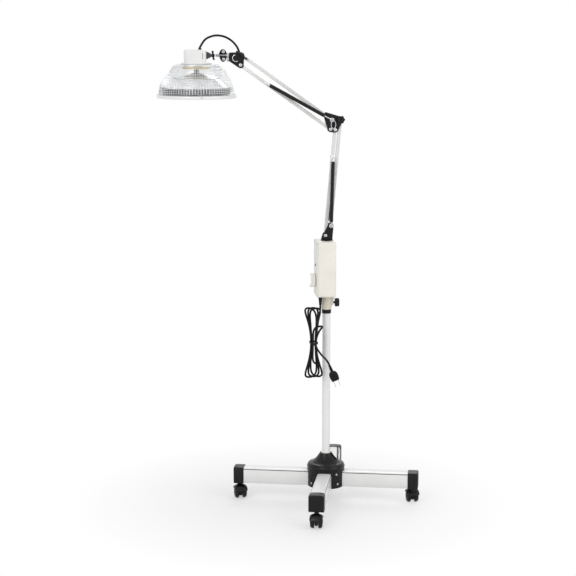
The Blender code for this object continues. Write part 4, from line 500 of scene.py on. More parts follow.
plug = piece("mains_plug", moved(joined([plug_shape, relief_shape]), origin=PLUG_TOP, **PLUG_AXES),
             cord_rubber, "control_box", replaces="plug_body")
PRONG_APART = 0.0127
for number, side in ((1, -1), (2, 1)):
    bottom = -RELIEF - BODY
    shape = oval_rings([(0.00055, 0.0024, 0.0005, bottom - 0.017),
                        (0.00075, 0.00315, 0.0006, bottom - 0.0155),
                        (0.00075, 0.00315, 0.0006, bottom + 0.001)], 6)
    blade = moved(moved(shape, origin=(side * PRONG_APART / 2, 0, 0)), origin=PLUG_TOP, **PLUG_AXES)
    piece(f"plug_blade_{number}", blade, zinc_steel, "control_box",
                        replaces=f"plug_prong_{number}")

# %% [markdown]
# The hank is drawn in by a twist tie: a thin rounded band around its waist, with its twisted ends.

# %% The tie
TIE_CENTRE = POLE + (WAIST_X, -0.03195, WAIST_Z)
band = []
for inset, z in ((0.0012, -0.0025), (0.0002, -0.0025), (0.0, -0.0021), (0.0, 0.0021), (0.0002, 0.0025),
                 (0.0012, 0.0025)):
    band.append(at_height(outline(0.0108 - inset, 0.0156 - inset, 0.003, 8), z))
tie_ends = []
for turn in (0, np.pi):
    t = np.linspace(0, 1, 26)
    tie_ends.append(swept(np.column_stack([0.0007 * np.cos(turn + t * 12), -0.0152 - t * 0.009,
                                           0.0007 * np.sin(turn + t * 12) - t * t * 0.004]), 0.0006,
                          (1, 0, 0), 8))
tie_shape = joined([net(np.array(band), True, True, False), *tie_ends])
tie = piece("twist_tie", moved(tie_shape, origin=TIE_CENTRE), sleeve_vinyl, "control_box",
            replaces="hank_tie")
print("cord, plug and tie made")

# %% [markdown]
# ## Casters
# Each caster is a black housing with its stem, and two wheels on an axle under one arched hood. The
# hood is a saddle: an arc over the wheels that rolls down at its sides and thins to a rim at its ends.

# %% Casters
CASTERS = {1: (0.332823, -0.051837, 180.0), 2: (0.150837, 0.233823, 170.0), 3: (-0.134823, 0.051837, 6.0),
           4: (0.047163, -0.233823, -10.0)}
AXLE_Y, AXLE_Z = -0.01, 0.017654
HOOD_RADIUS, HOOD_HALF, HOOD_THICK, HOOD_DROP = 0.0199, 0.0175, 0.00088, 0.0055
HOOD_SWEEP, HOOD_END = np.radians(78), np.radians(13)


def wheel_shell(side):
    """One wheel about the axle along x: tread, chamfers, and a dished outer face with a hub boss."""
    profile = [(0.0, 0.017), (0.0046, 0.017), (0.0052, 0.0164), (0.0056, 0.0155), (0.01, 0.015),
               (0.0132, 0.0158), (0.014, 0.016), (0.0152, 0.015), (0.0165, 0.0132), (0.0174, 0.0112),
               (0.01765, 0.0078), (0.0172, 0.0064), (0.0163, 0.0055), (0.007, 0.0055), (0.0, 0.0055)]
    return lathe(profile, 56, 0.0005, 3, origin=(0, AXLE_Y, AXLE_Z),
                 **(ALONG_X if side > 0 else ALONG_MINUS_X))


def hood():
    """The saddle: rows along its arc, columns across; a superellipse section rolls its two edges in."""
    arc = np.linspace(-HOOD_SWEEP, HOOD_SWEEP, 41)
    section = circle(44)
    across = power(np.cos(section), 0.8)
    thick = power(np.sin(section), 0.7)
    ends = np.clip((HOOD_SWEEP - np.abs(arc)) / HOOD_END, 0.0, 1.0)
    ends = 0.55 + 0.45 * np.sqrt(1 - (1 - ends) ** 2)
    shoulder = HOOD_DROP * np.abs(across[None]) ** 3 * np.cos(arc)[:, None] ** 2
    radius = HOOD_RADIUS + HOOD_THICK * thick[None] - shoulder
    x = HOOD_HALF * across[None] * ends[:, None]
    return net(np.stack([x + 0 * radius, AXLE_Y + radius * np.sin(arc)[:, None],
                         AXLE_Z + radius * np.cos(arc)[:, None]], -1), caps=True)


housing_parts = [hood()]
web = hull([(AXLE_Y, AXLE_Z, 0.012), (AXLE_Y + 0.006, 0.0325, 0.005), (AXLE_Y - 0.0075, 0.0318, 0.004)])
housing_parts.append(moved(slab(web, -0.004, 0.004, 0.0006), x=(0, 1, 0), y=(0, 0, 1), z=(1, 0, 0)))
neck = rounded([(0.0, 0.03), (0.0072, 0.03), (0.0072, 0.0362), (0.006, 0.0388), (0.006, 0.0427),
                (0.0, 0.0427)], 0.0008)
housing_parts.append(turned(neck, 40))
housing_parts.append(lathe([(0.0, 0.042), (0.004, 0.042), (0.004, 0.0596), (0.003, 0.0607), (0.0, 0.0607)],
                           28, 0.0005))
axle = lathe([(0.0, -0.006), (0.0026, -0.006), (0.0026, 0.006), (0.0, 0.006)], 20, origin=(0, AXLE_Y, AXLE_Z),
             **ALONG_X)
wheels = joined([wheel_shell(-1), wheel_shell(1), axle])
for number, (foot_x, foot_y, heading) in CASTERS.items():
    axes = facing(heading)
    piece(f"swivel_housing_{number}", moved(joined(housing_parts), origin=(foot_x, foot_y, 0), **axes),
          black_abs, f"caster_{number}", replaces=f"caster_housing_{number}", sharp=50)
    piece(f"twin_wheels_{number}", moved(wheels, origin=(foot_x, foot_y, 0), **axes), tread_rubber,
          f"wheels_{number}", replaces=f"caster_wheels_{number}")
print("casters:", len(CASTERS))

# %% [markdown]
# ## Legs
# Each leg is a bent sheet channel: two upright sides under an arched top, with a fine groove where
# top and side meet, lined with a dark strip of painted shade. A black cap closes its end.

# %% Legs and their end caps
LEG_ANGLES = (-12.5, 77.5, 167.5, 257.5)
LEG_HALF, LEG_BOTTOM, LEG_SIDE, LEG_CROWN = 0.01925, 0.0447, 0.0842, 0.0877
LEG_START, LEG_END = 0.0205, 0.2337


def leg_section(grow=0.0, groove=0.0018, bottom=LEG_BOTTOM, steps=14):
    """Half outline (y, z) mirrored: up the side, a groove at the shoulder, then the arch to the middle."""
    half = LEG_HALF + grow
    t = np.linspace(0, np.pi / 2, steps)
    arch_y = (half - 0.0011) * np.cos(t) ** 0.9
    arch_z = LEG_SIDE + grow + (LEG_CROWN - LEG_SIDE) * np.sin(t) ** 0.9
    side = [(half - 0.0008, bottom), (half, bottom + 0.0008), (half, LEG_SIDE + grow - 0.0021),
            (half - 0.0002, LEG_SIDE + grow - 0.0018), (half - groove, LEG_SIDE + grow - 0.0015),
            (half - groove, LEG_SIDE + grow - 0.0003), (half - 0.0009, LEG_SIDE + grow)]
    right = np.concatenate([np.array(side), np.column_stack([arch_y, arch_z])])
    return np.concatenate([right, (right * (-1, 1))[-2::-1]])


def leg_rows(section, sections):
    """Carries a section along x, drawn in about its middle by an inset at each row."""
    middle = np.array([0.0, (section[:, 1].min() + section[:, 1].max()) / 2])
    rows = []
    for x, inset in sections:
        half = np.array([np.abs(section[:, 0]).max(), np.ptp(section[:, 1]) / 2])
        drawn = middle + (section - middle) * (1 - inset / half)
        rows.append(np.column_stack([np.full(len(drawn), x), drawn]))
    return net(np.array(rows), caps=True)


for number, angle in enumerate(LEG_ANGLES, 1):
    foot = {"origin": POLE, **facing(angle)}
    x_rows = np.concatenate([[LEG_START], np.linspace(LEG_START + 0.01, LEG_END - 0.01, 12), [LEG_END]])
    channel = leg_rows(leg_section(), [(x, 0.0) for x in x_rows])
    piece(f"leg_channel_{number}", moved(channel, **foot), white_enamel, "stand", replaces=f"leg_{number}",
          sharp=60)
    # A thin black strip in each shoulder groove: painted shade along the groove.
    groove_shade = soft_block(((LEG_END - LEG_START) / 2 - 0.002, 0.0004, 0.0008), 0.0003, 0.0002, 3)
    groove_shades = [moved(groove_shade, origin=((LEG_START + LEG_END) / 2, side * (LEG_HALF - 0.0006), LEG_SIDE - 0.0009))
             for side in (-1, 1)]
    piece(f"leg_groove_painted_shade_{number}", moved(joined(groove_shades), **foot), black_enamel, "stand")
    end_rows = [(0.226, 0.0006), (0.2263, 0.0001), (0.2268, 0.0), (0.239, 0.0), (0.249, 0.0), (0.252, 0.0003),
                (0.2533, 0.0009), (0.254, 0.002), (0.25405, 0.003), (0.2534, 0.0032), (0.2533, 0.006)]
    cap = leg_rows(leg_section(0.0017, 0.001, 0.043), end_rows)
    piece(f"leg_end_cap_{number}", moved(cap, **foot), black_abs, "stand", replaces=f"leg_cap_{number}",
          sharp=45)
print("legs:", len(LEG_ANGLES))

# %% [markdown]
# ## Hub
# The legs meet under a glossy moulded cover: a round skirt with an arch over each leg, a rounded
# shoulder and a cone that curves up to the pole. The skirt's lower edge follows each leg's outline.

# %% Hub cover
HUB_RADIUS, ARCH_CLEARANCE = 0.051, 0.0008
cone = [(0.045, 0.1085)] + [(0.045 + (0.0166 - 0.045) * t, 0.1085 + (0.1345 - 0.1085) * t ** 1.8)
                             for t in np.linspace(0.08, 1, 12)]
outer = rounded([(HUB_RADIUS, 0.0), (HUB_RADIUS, 0.0965), (HUB_RADIUS + 0.0009, 0.0973),
                 (HUB_RADIUS + 0.0009, 0.0997), (HUB_RADIUS - 0.0002, 0.1003), (0.0497, 0.1045),
                 (0.0462, 0.1083), *cone[1:], (0.0166, 0.1352), (0.015, 0.1356), (0.0142, 0.135),
                 (0.0142, 0.128)], 0.0012, 4)
columns = 288
a = circle(columns)
lower = np.full(columns, 0.044)
for angle in LEG_ANGLES:
    offset = (a - np.radians(angle) + np.pi) % (2 * np.pi) - np.pi
    across = np.abs(HUB_RADIUS * np.sin(offset))
    reach = LEG_HALF + ARCH_CLEARANCE
    rise = np.sqrt(np.clip(1 - (across / reach) ** 2, 0, 1))
    crown = LEG_SIDE + (LEG_CROWN - LEG_SIDE) * rise + ARCH_CLEARANCE
    inside = (across < reach) & (np.abs(offset) < 1.0)
    lower = np.where(inside, np.maximum(lower, crown), lower)
rows = []
for radius, height in ((HUB_RADIUS - 0.0022, 0.0012), (HUB_RADIUS - 0.0022, 0.0), (HUB_RADIUS - 0.0004, 0.0),
                       (HUB_RADIUS, 0.0004)):
    rows.append(spun(radius, a, lower + height))
for share in (0.5, 1.0):
    rows.append(spun(HUB_RADIUS, a, lower + 0.0004 + (0.0955 - lower) * share))
for radius, height in outer[outer[:, 1] > 0.0961]:
    rows.append(spun(radius, a, height))
hub_shape = moved(net(np.array(rows)), origin=POLE)
piece("hub_shroud", hub_shape, black_abs, "stand", replaces="hub_cover", sharp=42)

# %% [markdown]
# Small pan-head screws hold the shroud: one low on the skirt beside each leg's arch. Each head is a
# dome with a cross recess.

# %% Screws


def screw(radius, height, recess=True):
    """Pan head seen along +z: rows of rings whose middle is pushed in along a cross."""
    r = np.concatenate([[0.02], np.linspace(0.12, 0.86, 9), [0.95, 1.0, 1.0]]) * radius
    z = np.concatenate([[1.0], 1 - 0.3 * np.linspace(0.12, 0.86, 9) ** 2, [0.62, 0.45, -0.3]]) * height
    a = circle(48)
    x, y = r[:, None] * np.cos(a), r[:, None] * np.sin(a)
    arm = np.minimum(np.abs(x), np.abs(y)) < 0.13 * radius
    dip = (arm & (r[:, None] < 0.62 * radius)) * height * 0.75 if recess else 0 * x
    return net(np.stack([x, y, z[:, None] - dip], -1)[::-1], caps=True)


def screw_at(name, place, out, radius, height, body):
    """Zinc plated screw whose axis points out of a face."""
    out = np.array(out, float) / np.linalg.norm(out)
    side = np.cross(out, (0.0, 0.0, 1.0) if abs(out[2]) < 0.9 else (1.0, 0.0, 0.0))
    side /= np.linalg.norm(side)
    return piece(name, moved(screw(radius, height), origin=place, x=side, y=np.cross(out, side), z=out),
                 zinc_steel, body, sharp=30)


for number, angle in enumerate((-57.5, 32.5, 122.5, 212.5, -62.0), 1):
    a = np.radians(angle)
    out_way = np.array([np.cos(a), np.sin(a), 0.0])
    height = 0.056 if number < 5 else 0.083
    screw_at(f"hub_screw_{number}", POLE + out_way * HUB_RADIUS + (0, 0, height), out_way, 0.003, 0.0012,
             "stand")
print("hub and screws made")

# %% [markdown]
# ## Pole
# A white steel tube on a slightly wider foot ring, with a black stop ring under the control box.
# A bent strip of plated steel stands beside its foot, coloured dark grey as painted shade.

# %% Pole, ring and strip
pole_profile = rounded([(0.0, 0.0923), (0.0136, 0.0923), (0.0136, 0.1385), (0.011, 0.1393), (0.011, 0.59),
                        (0.0, 0.59)], 0.0006)
piece("pole_tube", lathe(pole_profile, 72, origin=POLE), white_enamel, "stand", replaces="pole")
ring_profile = rounded([(0.0113, 0.5245), (0.0128, 0.5245), (0.0128, 0.529), (0.0122, 0.5296),
                        (0.0128, 0.5302), (0.0128, 0.535), (0.0113, 0.535)], 0.0004, 3)
piece("stop_ring", lathe(ring_profile, 72, ring=True, origin=POLE), black_abs, "stand",
      replaces="pole_collar")


def strap(path, half_width, thickness, corner=0.0004):
    """Flat bar bent along (x, z) points: a small rounded section of its thickness and width."""
    path = np.array(path, float)
    ahead = np.gradient(path, axis=0)
    ahead /= np.linalg.norm(ahead, axis=1, keepdims=True)
    normal = np.stack([-ahead[:, 1], ahead[:, 0]], -1)
    section = outline(thickness / 2, half_width, corner, 4)
    xz = path[:, None] + section[None, :, :1] * normal[:, None]
    y = np.broadcast_to(section[None, :, 1], xz.shape[:2])
    return net(np.stack([xz[..., 0], y, xz[..., 1]], -1), caps=True)


strip_low, strip_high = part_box("lock_strip")
middle_x, middle_z = strip_high[0] - 0.0011, strip_high[2] - 0.0011
strip_path = rounded([(strip_low[0], middle_z), (middle_x, middle_z), (middle_x, strip_low[2] + 0.0004)],
                     0.003, 8)
# The plated strip takes the dark grey casting finish: painted shade.
piece("bent_strip_painted_shade", strap(strip_path, 0.01, 0.0022), cast_grey, "stand", replaces="lock_strip")
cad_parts["hub_core"].data.materials.clear()
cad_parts["hub_core"].data.materials.append(cast_grey)
print("pole made")

# %% [markdown]
# ## Control box
# A deep tray of beige ABS, closed by a slightly greyer panel on the side towards the lamp. Its socket
# below slides over the pole and carries a slanted web and the boss of the clamp screw.

# %% Box, panel and socket


def loft_along(sections, steps=8):
    """Rounded outlines lofted along x: each section is (x, half_y, half_z, corner)."""
    rings = [np.column_stack([np.full(4 * steps, x), outline(half_y, half_z, max(corner, 0.0002), steps)])
             for x, half_y, half_z, corner in sections]
    return net(np.array(rings), caps=True)


case_low, case_high = (np.array(corner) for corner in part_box("box_shell"))
panel_low, panel_high = (np.array(corner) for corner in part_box("box_panel"))
half_y, half_z, edge = case_high[1], (case_high[2] - case_low[2]) / 2, 0.005
centre_z = (case_high[2] + case_low[2]) / 2
depth = case_high[0] - case_low[0]
turns = np.linspace(0, np.pi / 2, 7)
sections = [(0.0, half_y - 0.0005, half_z - 0.0005, edge - 0.0005), (0.0004, half_y, half_z, edge)]
sections += [(depth - edge + edge * np.sin(t), half_y - edge * (1 - np.cos(t)),
              half_z - edge * (1 - np.cos(t)), edge * np.cos(t)) for t in turns]
piece("box_case", moved(loft_along(sections), origin=(case_low[0], 0, centre_z)), beige_abs, "control_box",
      replaces="box_shell", sharp=30)
thick = panel_high[0] - panel_low[0]
sections = [(0.0, half_y - 0.001, half_z - 0.001, edge - 0.001),
            (0.0003, half_y - 0.0003, half_z - 0.0003, edge), (0.001, half_y, half_z, edge),
            (thick - 0.0003, half_y, half_z, edge), (thick, half_y - 0.0003, half_z - 0.0003, edge)]
piece("box_front", moved(loft_along(sections), origin=(panel_low[0], 0, centre_z)), panel_abs, "control_box",
      replaces="box_panel", sharp=30)
for number, (side, rise) in enumerate(((-1, -1), (-1, 1), (1, -1), (1, 1)), 1):
    screw_at(f"panel_screw_{number}", (panel_low[0], side * 0.0325, centre_z + rise * 0.068), (-1, 0, 0),
             0.0026, 0.0009, "control_box")

socket = rounded([(0.0114, 0.5353), (0.0132, 0.5353), (0.0136, 0.5362), (0.0136, 0.5715), (0.015, 0.5722),
                  (0.015, 0.576), (0.019, 0.5762), (0.019, 0.5778), (0.0136, 0.5782), (0.0136, 0.5925),
                  (0.0114, 0.5925)], 0.0005, 3)
web_outline = np.array([(0.012, 0.54), (0.0132, 0.5402), (0.0215, 0.5695), (0.0215, 0.5725), (0.012, 0.5725)])
boss = rounded([(0.0, 0.012), (0.007, 0.012), (0.007, 0.0172), (0.0062, 0.018), (0.0, 0.018)], 0.0004, 3)
socket_web = moved(slab(web_outline, -0.0025, 0.0025, 0.0005), **ALONG_MINUS_Y)
socket_boss = lathe(boss, 40, origin=(0, 0, 0.553), **ALONG_X)
socket_shape = joined([turned(socket, 72, ring=True), socket_web, socket_boss])
# The socket wears the darker beige: painted shade under the box.
piece("pole_socket", moved(socket_shape, origin=POLE), socket_shaded_abs, "control_box", replaces="box_socket")

gland = [(0.0, 0.5497), (0.003, 0.5497), (0.0036, 0.5502)]
for rib in range(4):
    low = 0.551 + rib * 0.003
    radius = 0.0038 + rib * 0.00022
    gland += [(radius, low), (radius, low + 0.0016), (radius - 0.0007, low + 0.0019),
              (radius - 0.0007, low + 0.0028)]
gland += [(0.0046, 0.5634), (0.0052, 0.565), (0.0052, 0.569), (0.0061, 0.5692), (0.0061, 0.5724),
          (0.0058, 0.5727), (0.0, 0.5727)]
piece("cord_grommet", lathe(gland, 40, origin=POLE + (GLAND_X, GLAND_Y, 0)), black_abs, "control_box",
      replaces="cord_gland")
lens = [(0.0, -0.0026), (0.004, -0.0026), (0.004, 0.0004)]
lens += [(0.004 * np.cos(t), 0.0004 + 0.0014 * np.sin(t)) for t in np.linspace(0.15, np.pi / 2 - 0.05, 8)]
piece("pilot_lens", lathe(lens + [(0.0, 0.0018)], 40, origin=(panel_low[0], 0, 0.656), **ALONG_MINUS_X),
      lens_grey_and_slot_shade, "control_box", replaces="indicator")
timer_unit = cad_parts["timer_unit"]
timer_unit.data.materials.clear()
timer_unit.data.materials.append(black_abs)
print("box made")

# %% [markdown]
# Two knobs belong to the box: the fluted clamp knob behind the pole and the timer dial, a low cone
# with a saddle-shaped grip across it.

# %% Clamp knob and timer dial


def fluted(profile, ribs, depth, sides=96):
    """Turned body whose radius dips between its ribs; the dip fades towards the axis."""
    r, z = np.array(profile, float).T
    a = circle(sides)
    dip = depth * (0.5 - 0.5 * np.cos(ribs * a)) ** 1.5
    radius = r[:, None] - dip * (r[:, None] / r.max()) ** 4
    return net(spun(radius, a, z[:, None]), caps=True)


knob_profile = rounded([(0.0, 0.0), (0.0098, 0.0), (0.0116, 0.0012), (0.0116, 0.0098), (0.0104, 0.0118),
                        (0.007, 0.012), (0.0064, 0.0112), (0.0, 0.0112)], 0.0008, 4)
stem_profile = rounded([(0.0, -0.0109), (0.003, -0.0109), (0.003, 0.002), (0.0, 0.002)], 0.0002, 3)
knob_place = POLE + (0.0222, 0, 0.553)
clamp_shape = joined([fluted(knob_profile, 12, 0.001), turned(stem_profile, 28)])
piece("clamp_hand_knob", moved(clamp_shape, origin=knob_place, **ALONG_X), black_abs, "clamp_screw",
      replaces="clamp_knob")

DIAL_RADIUS, DIAL_TURN = 0.0185, np.radians(18.0)
skirt = rounded([(0.0, 0.0016), (DIAL_RADIUS - 0.0004, 0.0016), (DIAL_RADIUS, 0.002), (DIAL_RADIUS, 0.0032),
                 (0.0176, 0.0037), (0.012, 0.0048), (0.01, 0.0062), (0.007, 0.01), (0.0, 0.0112)], 0.0008, 4)
along = np.linspace(-1, 1, 33)
ridge = np.where(along < 0, 0.0118 + (0.0175 - 0.0118) * np.abs(along) ** 1.6,
                 0.0118 + (0.014 - 0.0118) * np.abs(along) ** 1.6)
ridge -= 0.0016 * np.clip((np.abs(along) - 0.86) / 0.14, 0, 1) ** 2
half_grip = 0.00375 * np.sqrt(1 - np.clip((np.abs(along) - 0.8) / 0.21, 0, 1) ** 2)
section = circle(32)
side_y, side_z = power(np.cos(section), 0.45), power(np.sin(section), 0.45)
low_z = 0.0026
grip = np.stack([np.broadcast_to((along * DIAL_RADIUS)[:, None], (33, 32)), half_grip[:, None] * side_y,
                 (ridge[:, None] + low_z) / 2 + (ridge[:, None] - low_z) / 2 * side_z], -1)
dial_x = np.array([0, np.sin(DIAL_TURN), np.cos(DIAL_TURN)])
dial_y = np.array([0, np.cos(DIAL_TURN), -np.sin(DIAL_TURN)])
dial = moved(joined([turned(skirt, 72), net(grip, caps=True)]), origin=(panel_low[0], 0, 0.615), x=dial_x,
             y=dial_y, z=(-1, 0, 0))
piece("timer_dial_knob", dial, beige_abs, "timer_dial", replaces="timer_knob")
print("knobs made")

# %% [markdown]
# ## Arm
# Two parallelogram pairs of pale square tube fold on pins. Between them sits the black elbow, at the
# foot a black bracket on a turning disc, and at the head a black bracket for the lamp's rod.

# %% Pivots and bars
PIVOT_A, PIVOT_B = np.array([0.0948, 0, 0.736]), np.array([0.1091, 0, 0.763])
ELBOW_A, ELBOW_B = np.array([0.11956, 0, 1.01892]), np.array([0.13386, 0, 1.04592])
ELBOW_C, ELBOW_D = np.array([0.10716, 0, 1.01992]), np.array([0.11016, 0, 1.04542])
WRIST_C, WRIST_D = np.array([-0.13105, 0, 1.18983]), np.array([-0.12805, 0, 1.21533])
LOWER_WAY = (ELBOW_A - PIVOT_A) / np.linalg.norm(ELBOW_A - PIVOT_A)
UPPER_WAY = (WRIST_C - ELBOW_C) / np.linalg.norm(WRIST_C - ELBOW_C)
BAR_HALF, BAR_WALL, BAR_OVER = 0.0045, 0.001, 0.004
CHEEK_IN, CHEEK_OUT = 0.0052, 0.007


def square_tube(start, way, length):
    """Open-ended tube: outer and inner rounded squares in rows along it, with lipped ends."""
    long_rows = [-BAR_OVER, -BAR_OVER + 0.0003, length + BAR_OVER - 0.0003, length + BAR_OVER]
    insets = [0.0002, 0.0, 0.0, 0.0002]
    rings = [at_height(outline(BAR_HALF - i, BAR_HALF - i, 0.0012, 6), z) for z, i in zip(long_rows, insets)]
    bore = outline(BAR_HALF - BAR_WALL, BAR_HALF - BAR_WALL, 0.0007, 6)
    rings += [at_height(bore, z) for z in (long_rows[-1], long_rows[0])]
    return moved(net(np.array(rings), wrap_rows=True), origin=start, x=np.cross((0, 1, 0), way), y=(0, 1, 0),
                 z=way)


lower_length = float(np.linalg.norm(ELBOW_A - PIVOT_A))
upper_length = float(np.linalg.norm(WRIST_C - ELBOW_C))
for name, start, way, length, body in (("lower_bar_a", PIVOT_A, LOWER_WAY, lower_length, "lower_arm"),
                                       ("lower_bar_b", PIVOT_B, LOWER_WAY, lower_length, "lower_rod"),
                                       ("upper_bar_a", ELBOW_C, UPPER_WAY, upper_length, "upper_arm"),
                                       ("upper_bar_b", ELBOW_D, UPPER_WAY, upper_length, "upper_rod")):
    # The bars wear the darker copy of the white enamel: painted shade.
    piece(name + "_tube", square_tube(start, way, length), shaded_bar_enamel, body, replaces=name, sharp=35)
print("bars:", round(lower_length, 4), round(upper_length, 4))

# %% [markdown]
# Each bracket is a pair of pressed plates pulled round its pins. Its rivets have low domed heads, and
# the spring pins reach out on both sides. The elbow also carries an oval wire link.

# %% Bracket and rivet shapes
def plates(circles):
    """Two equal plates of a hull of (x, z, r), with a small edge break."""
    shape = hull(circles, 16)
    return [moved(slab(shape, low, low + CHEEK_OUT - CHEEK_IN, 0.0003), **ALONG_MINUS_Y)
            for low in (CHEEK_IN, -CHEEK_OUT)]


def flat(place, radius):
    return (place[0], place[2], radius)


def dome(radius, height, reach):
    """Low domed head that stands on y = -reach."""
    t = np.linspace(0, np.pi / 2 - 0.06, 8)
    profile = [(0.0, reach - 0.0004), (radius, reach - 0.0004), (radius, reach + 0.0002)]
    profile += list(zip(radius * np.cos(t), reach + 0.0002 + (height - 0.0002) * np.sin(t)))
    return turned(profile + [(0.0, reach + height)], 36)


def pin(place, reach_back=CHEEK_OUT, reach_front=CHEEK_OUT, head=0.0046, height=0.0016, front_head=True):
    """Pin across the arm: a plain shank and a domed head at each end that has one."""
    shank = [(0.0, -reach_back), (0.0024, -reach_back), (0.0024, reach_front), (0.0, reach_front)]
    parts = [lathe(shank, 28, origin=place, **ALONG_MINUS_Y),
             moved(dome(head, height, reach_back), origin=place, **ALONG_PLUS_Y)]
    if front_head:
        parts.append(moved(dome(head, height, reach_front), origin=place, **ALONG_MINUS_Y))
    return joined(parts)


def spring_pin(place):
    return pin(place, 0.0176, 0.0176, 0.0034, 0.001)


def stud(place):
    return pin(place, CHEEK_OUT, 0.013, front_head=False)


# %% Foot bracket
disc = rounded([(0.0, 0.7108), (0.005, 0.7108), (0.005, 0.7228), (0.0165, 0.7228), (0.0165, 0.7246),
                (0.0158, 0.7252), (0.0, 0.7252)], 0.0003, 3)
foot_circles = [flat(PIVOT_A, 0.0074), flat(PIVOT_B, 0.0074), (POLE[0] - 0.0115, 0.727, 0.003),
                (POLE[0] + 0.0115, 0.727, 0.003)]
bridge = soft_block((0.0135, CHEEK_OUT - 0.0003, 0.0009), 0.0012, 0.0003, 3)
foot_parts = [lathe(disc, 72, origin=POLE), *plates(foot_circles),
              moved(bridge, origin=POLE + (0, 0, 0.7259))]
piece("foot_bracket", joined(foot_parts), black_enamel, "arm_foot", replaces="lower_bracket")
piece("foot_pins", joined([pin(PIVOT_A), spring_pin(PIVOT_B)]), zinc_steel, "arm_foot")

# %% Elbow bracket
LINK_HALF, LINK_PLACE = np.array([0.0062, 0.0105]), (0.1147, 0, 1.0327)
LINK_WIRE, LINK_FRONT = 0.0008, -0.0079
nose = ELBOW_D + (-0.0142, 0, 0.0125)
elbow_circles = [flat(place, 0.0074) for place in (ELBOW_A, ELBOW_B, ELBOW_C, ELBOW_D)] + [flat(nose, 0.0068)]
spacer_place = ELBOW_C + (0.0085, 0, 0.0137)
spacer = lathe([(0.0, -CHEEK_IN), (0.0034, -CHEEK_IN), (0.0034, CHEEK_IN), (0.0, CHEEK_IN)], 28,
               origin=spacer_place, **ALONG_MINUS_Y)
piece("elbow_plates", joined([spacer, *plates(elbow_circles)]), black_enamel, "elbow",
      replaces="elbow_bracket")
piece("elbow_pins", joined([pin(ELBOW_A), pin(ELBOW_C), spring_pin(ELBOW_D), stud(ELBOW_B)]), zinc_steel,
      "elbow")


def star_knob(lobes=6, radius=0.011, depth=0.0016, thickness=0.01):
    """Lobed knob on z = 0: its radius waves round it, its crown is domed with a round recess."""
    profile = rounded([(0.0, 0.0), (0.007, 0.0), (0.008, 0.0014), (radius, 0.003), (radius, 0.0078),
                       (0.0095, thickness - 0.0004), (0.0058, thickness), (0.005, thickness - 0.001),
                       (0.0, thickness - 0.0012)], 0.001, 4)
    r, z = profile.T
    a = circle(120)
    wave = (0.5 - 0.5 * np.cos(lobes * a)) ** 1.2
    reach = r[:, None] - depth * wave * np.clip((r[:, None] - 0.004) / 0.007, 0, 1) ** 2
    return net(spun(reach, a, z[:, None]), caps=True)


piece("elbow_star_knob", moved(star_knob(), origin=ELBOW_B - (0, CHEEK_OUT + GAP, 0), **ALONG_MINUS_Y),
      black_abs, "elbow_dial", replaces="elbow_knob")
t = circle(64)
link_rings = []
for angle in circle(10):
    x, z = (np.stack([np.cos(t), np.sin(t)], -1) * (LINK_HALF + LINK_WIRE * np.cos(angle))).T
    link_rings.append(np.column_stack([x, np.full(64, LINK_FRONT + LINK_WIRE * np.sin(angle)), z]))
piece("elbow_wire_link", moved(net(np.array(link_rings), wrap_rows=True), origin=LINK_PLACE), bright_wire,
      "elbow")
print("elbow made")

# %% [markdown]
# The head bracket is a folded plate: two cheeks and a web towards the lamp. A bright wire arc on its
# front cheek is a painted highlight, and a wing knob locks its upper pivot.

# %% Head bracket and wing knobs
BRACKET_LEFT = WRIST_C[0] - 0.0295
HIGHLIGHT_X, HIGHLIGHT_Z, HIGHLIGHT_RADIUS = -0.143, 1.2078, 0.0088
low, high = WRIST_C[2] + 0.0085, WRIST_C[2] + 0.0325
head_circles = [flat(WRIST_C, 0.0085), flat(WRIST_D, 0.0074), (BRACKET_LEFT + 0.003, low + 0.003, 0.003),
                (BRACKET_LEFT + 0.003, high - 0.003, 0.003)]
web = soft_block((0.0085, CHEEK_OUT - 0.0004, (high - low) / 2 - 0.0015), 0.0012, 0.0005, 4)
web_place = (BRACKET_LEFT + 0.0085, 0, (low + high) / 2)
piece("head_bracket_plates", joined([*plates(head_circles), moved(web, origin=web_place)]), black_enamel,
      "wrist", replaces="head_bracket")
piece("head_bracket_pins", joined([pin(WRIST_C), stud(WRIST_D)]), zinc_steel, "wrist")

# Bright wire arc on the front cheek: a painted highlight round a pressed recess.
t = np.radians(np.linspace(100, 300, 25))
highlight_x, highlight_z = HIGHLIGHT_X + HIGHLIGHT_RADIUS * np.cos(t), HIGHLIGHT_Z + HIGHLIGHT_RADIUS * np.sin(t)
highlight_line = np.column_stack([highlight_x, np.full(25, -CHEEK_OUT), highlight_z])
piece("bracket_painted_highlight", swept(highlight_line, 0.0009, (0, 1, 0), 12), bright_wire, "wrist")


def wing_shape(reach=0.0125, rise=0.006, lean=0.0):
    """Hub and two wings along x: each wing is a bar of round section that widens and lifts outwards."""
    hub = rounded([(0.0, 0.0), (0.005, 0.0), (0.005, 0.005), (0.004, 0.007), (0.0, 0.007)], 0.0007, 4)
    t = np.linspace(0, 1, 17)
    a = circle(24)
    wings = []
    for side in (-1, 1):
        x = side * (0.002 + (reach - 0.002) * t)
        centre = 0.0032 + (rise - 0.0032) * t ** 1.3 + side * lean * t
        ends = np.sqrt(1 - np.clip((t - 0.82) / 0.185, 0, 1) ** 2)
        tall = (0.002 + 0.001 * t) * ends
        wide = (0.0019 + 0.0008 * t) * ends
        wings.append(net(np.stack([np.broadcast_to(x[:, None], (17, 24)), wide[:, None] * np.cos(a),
                                   centre[:, None] + tall[:, None] * np.sin(a)], -1), caps=True))
    return joined([turned(hub, 40), *wings])


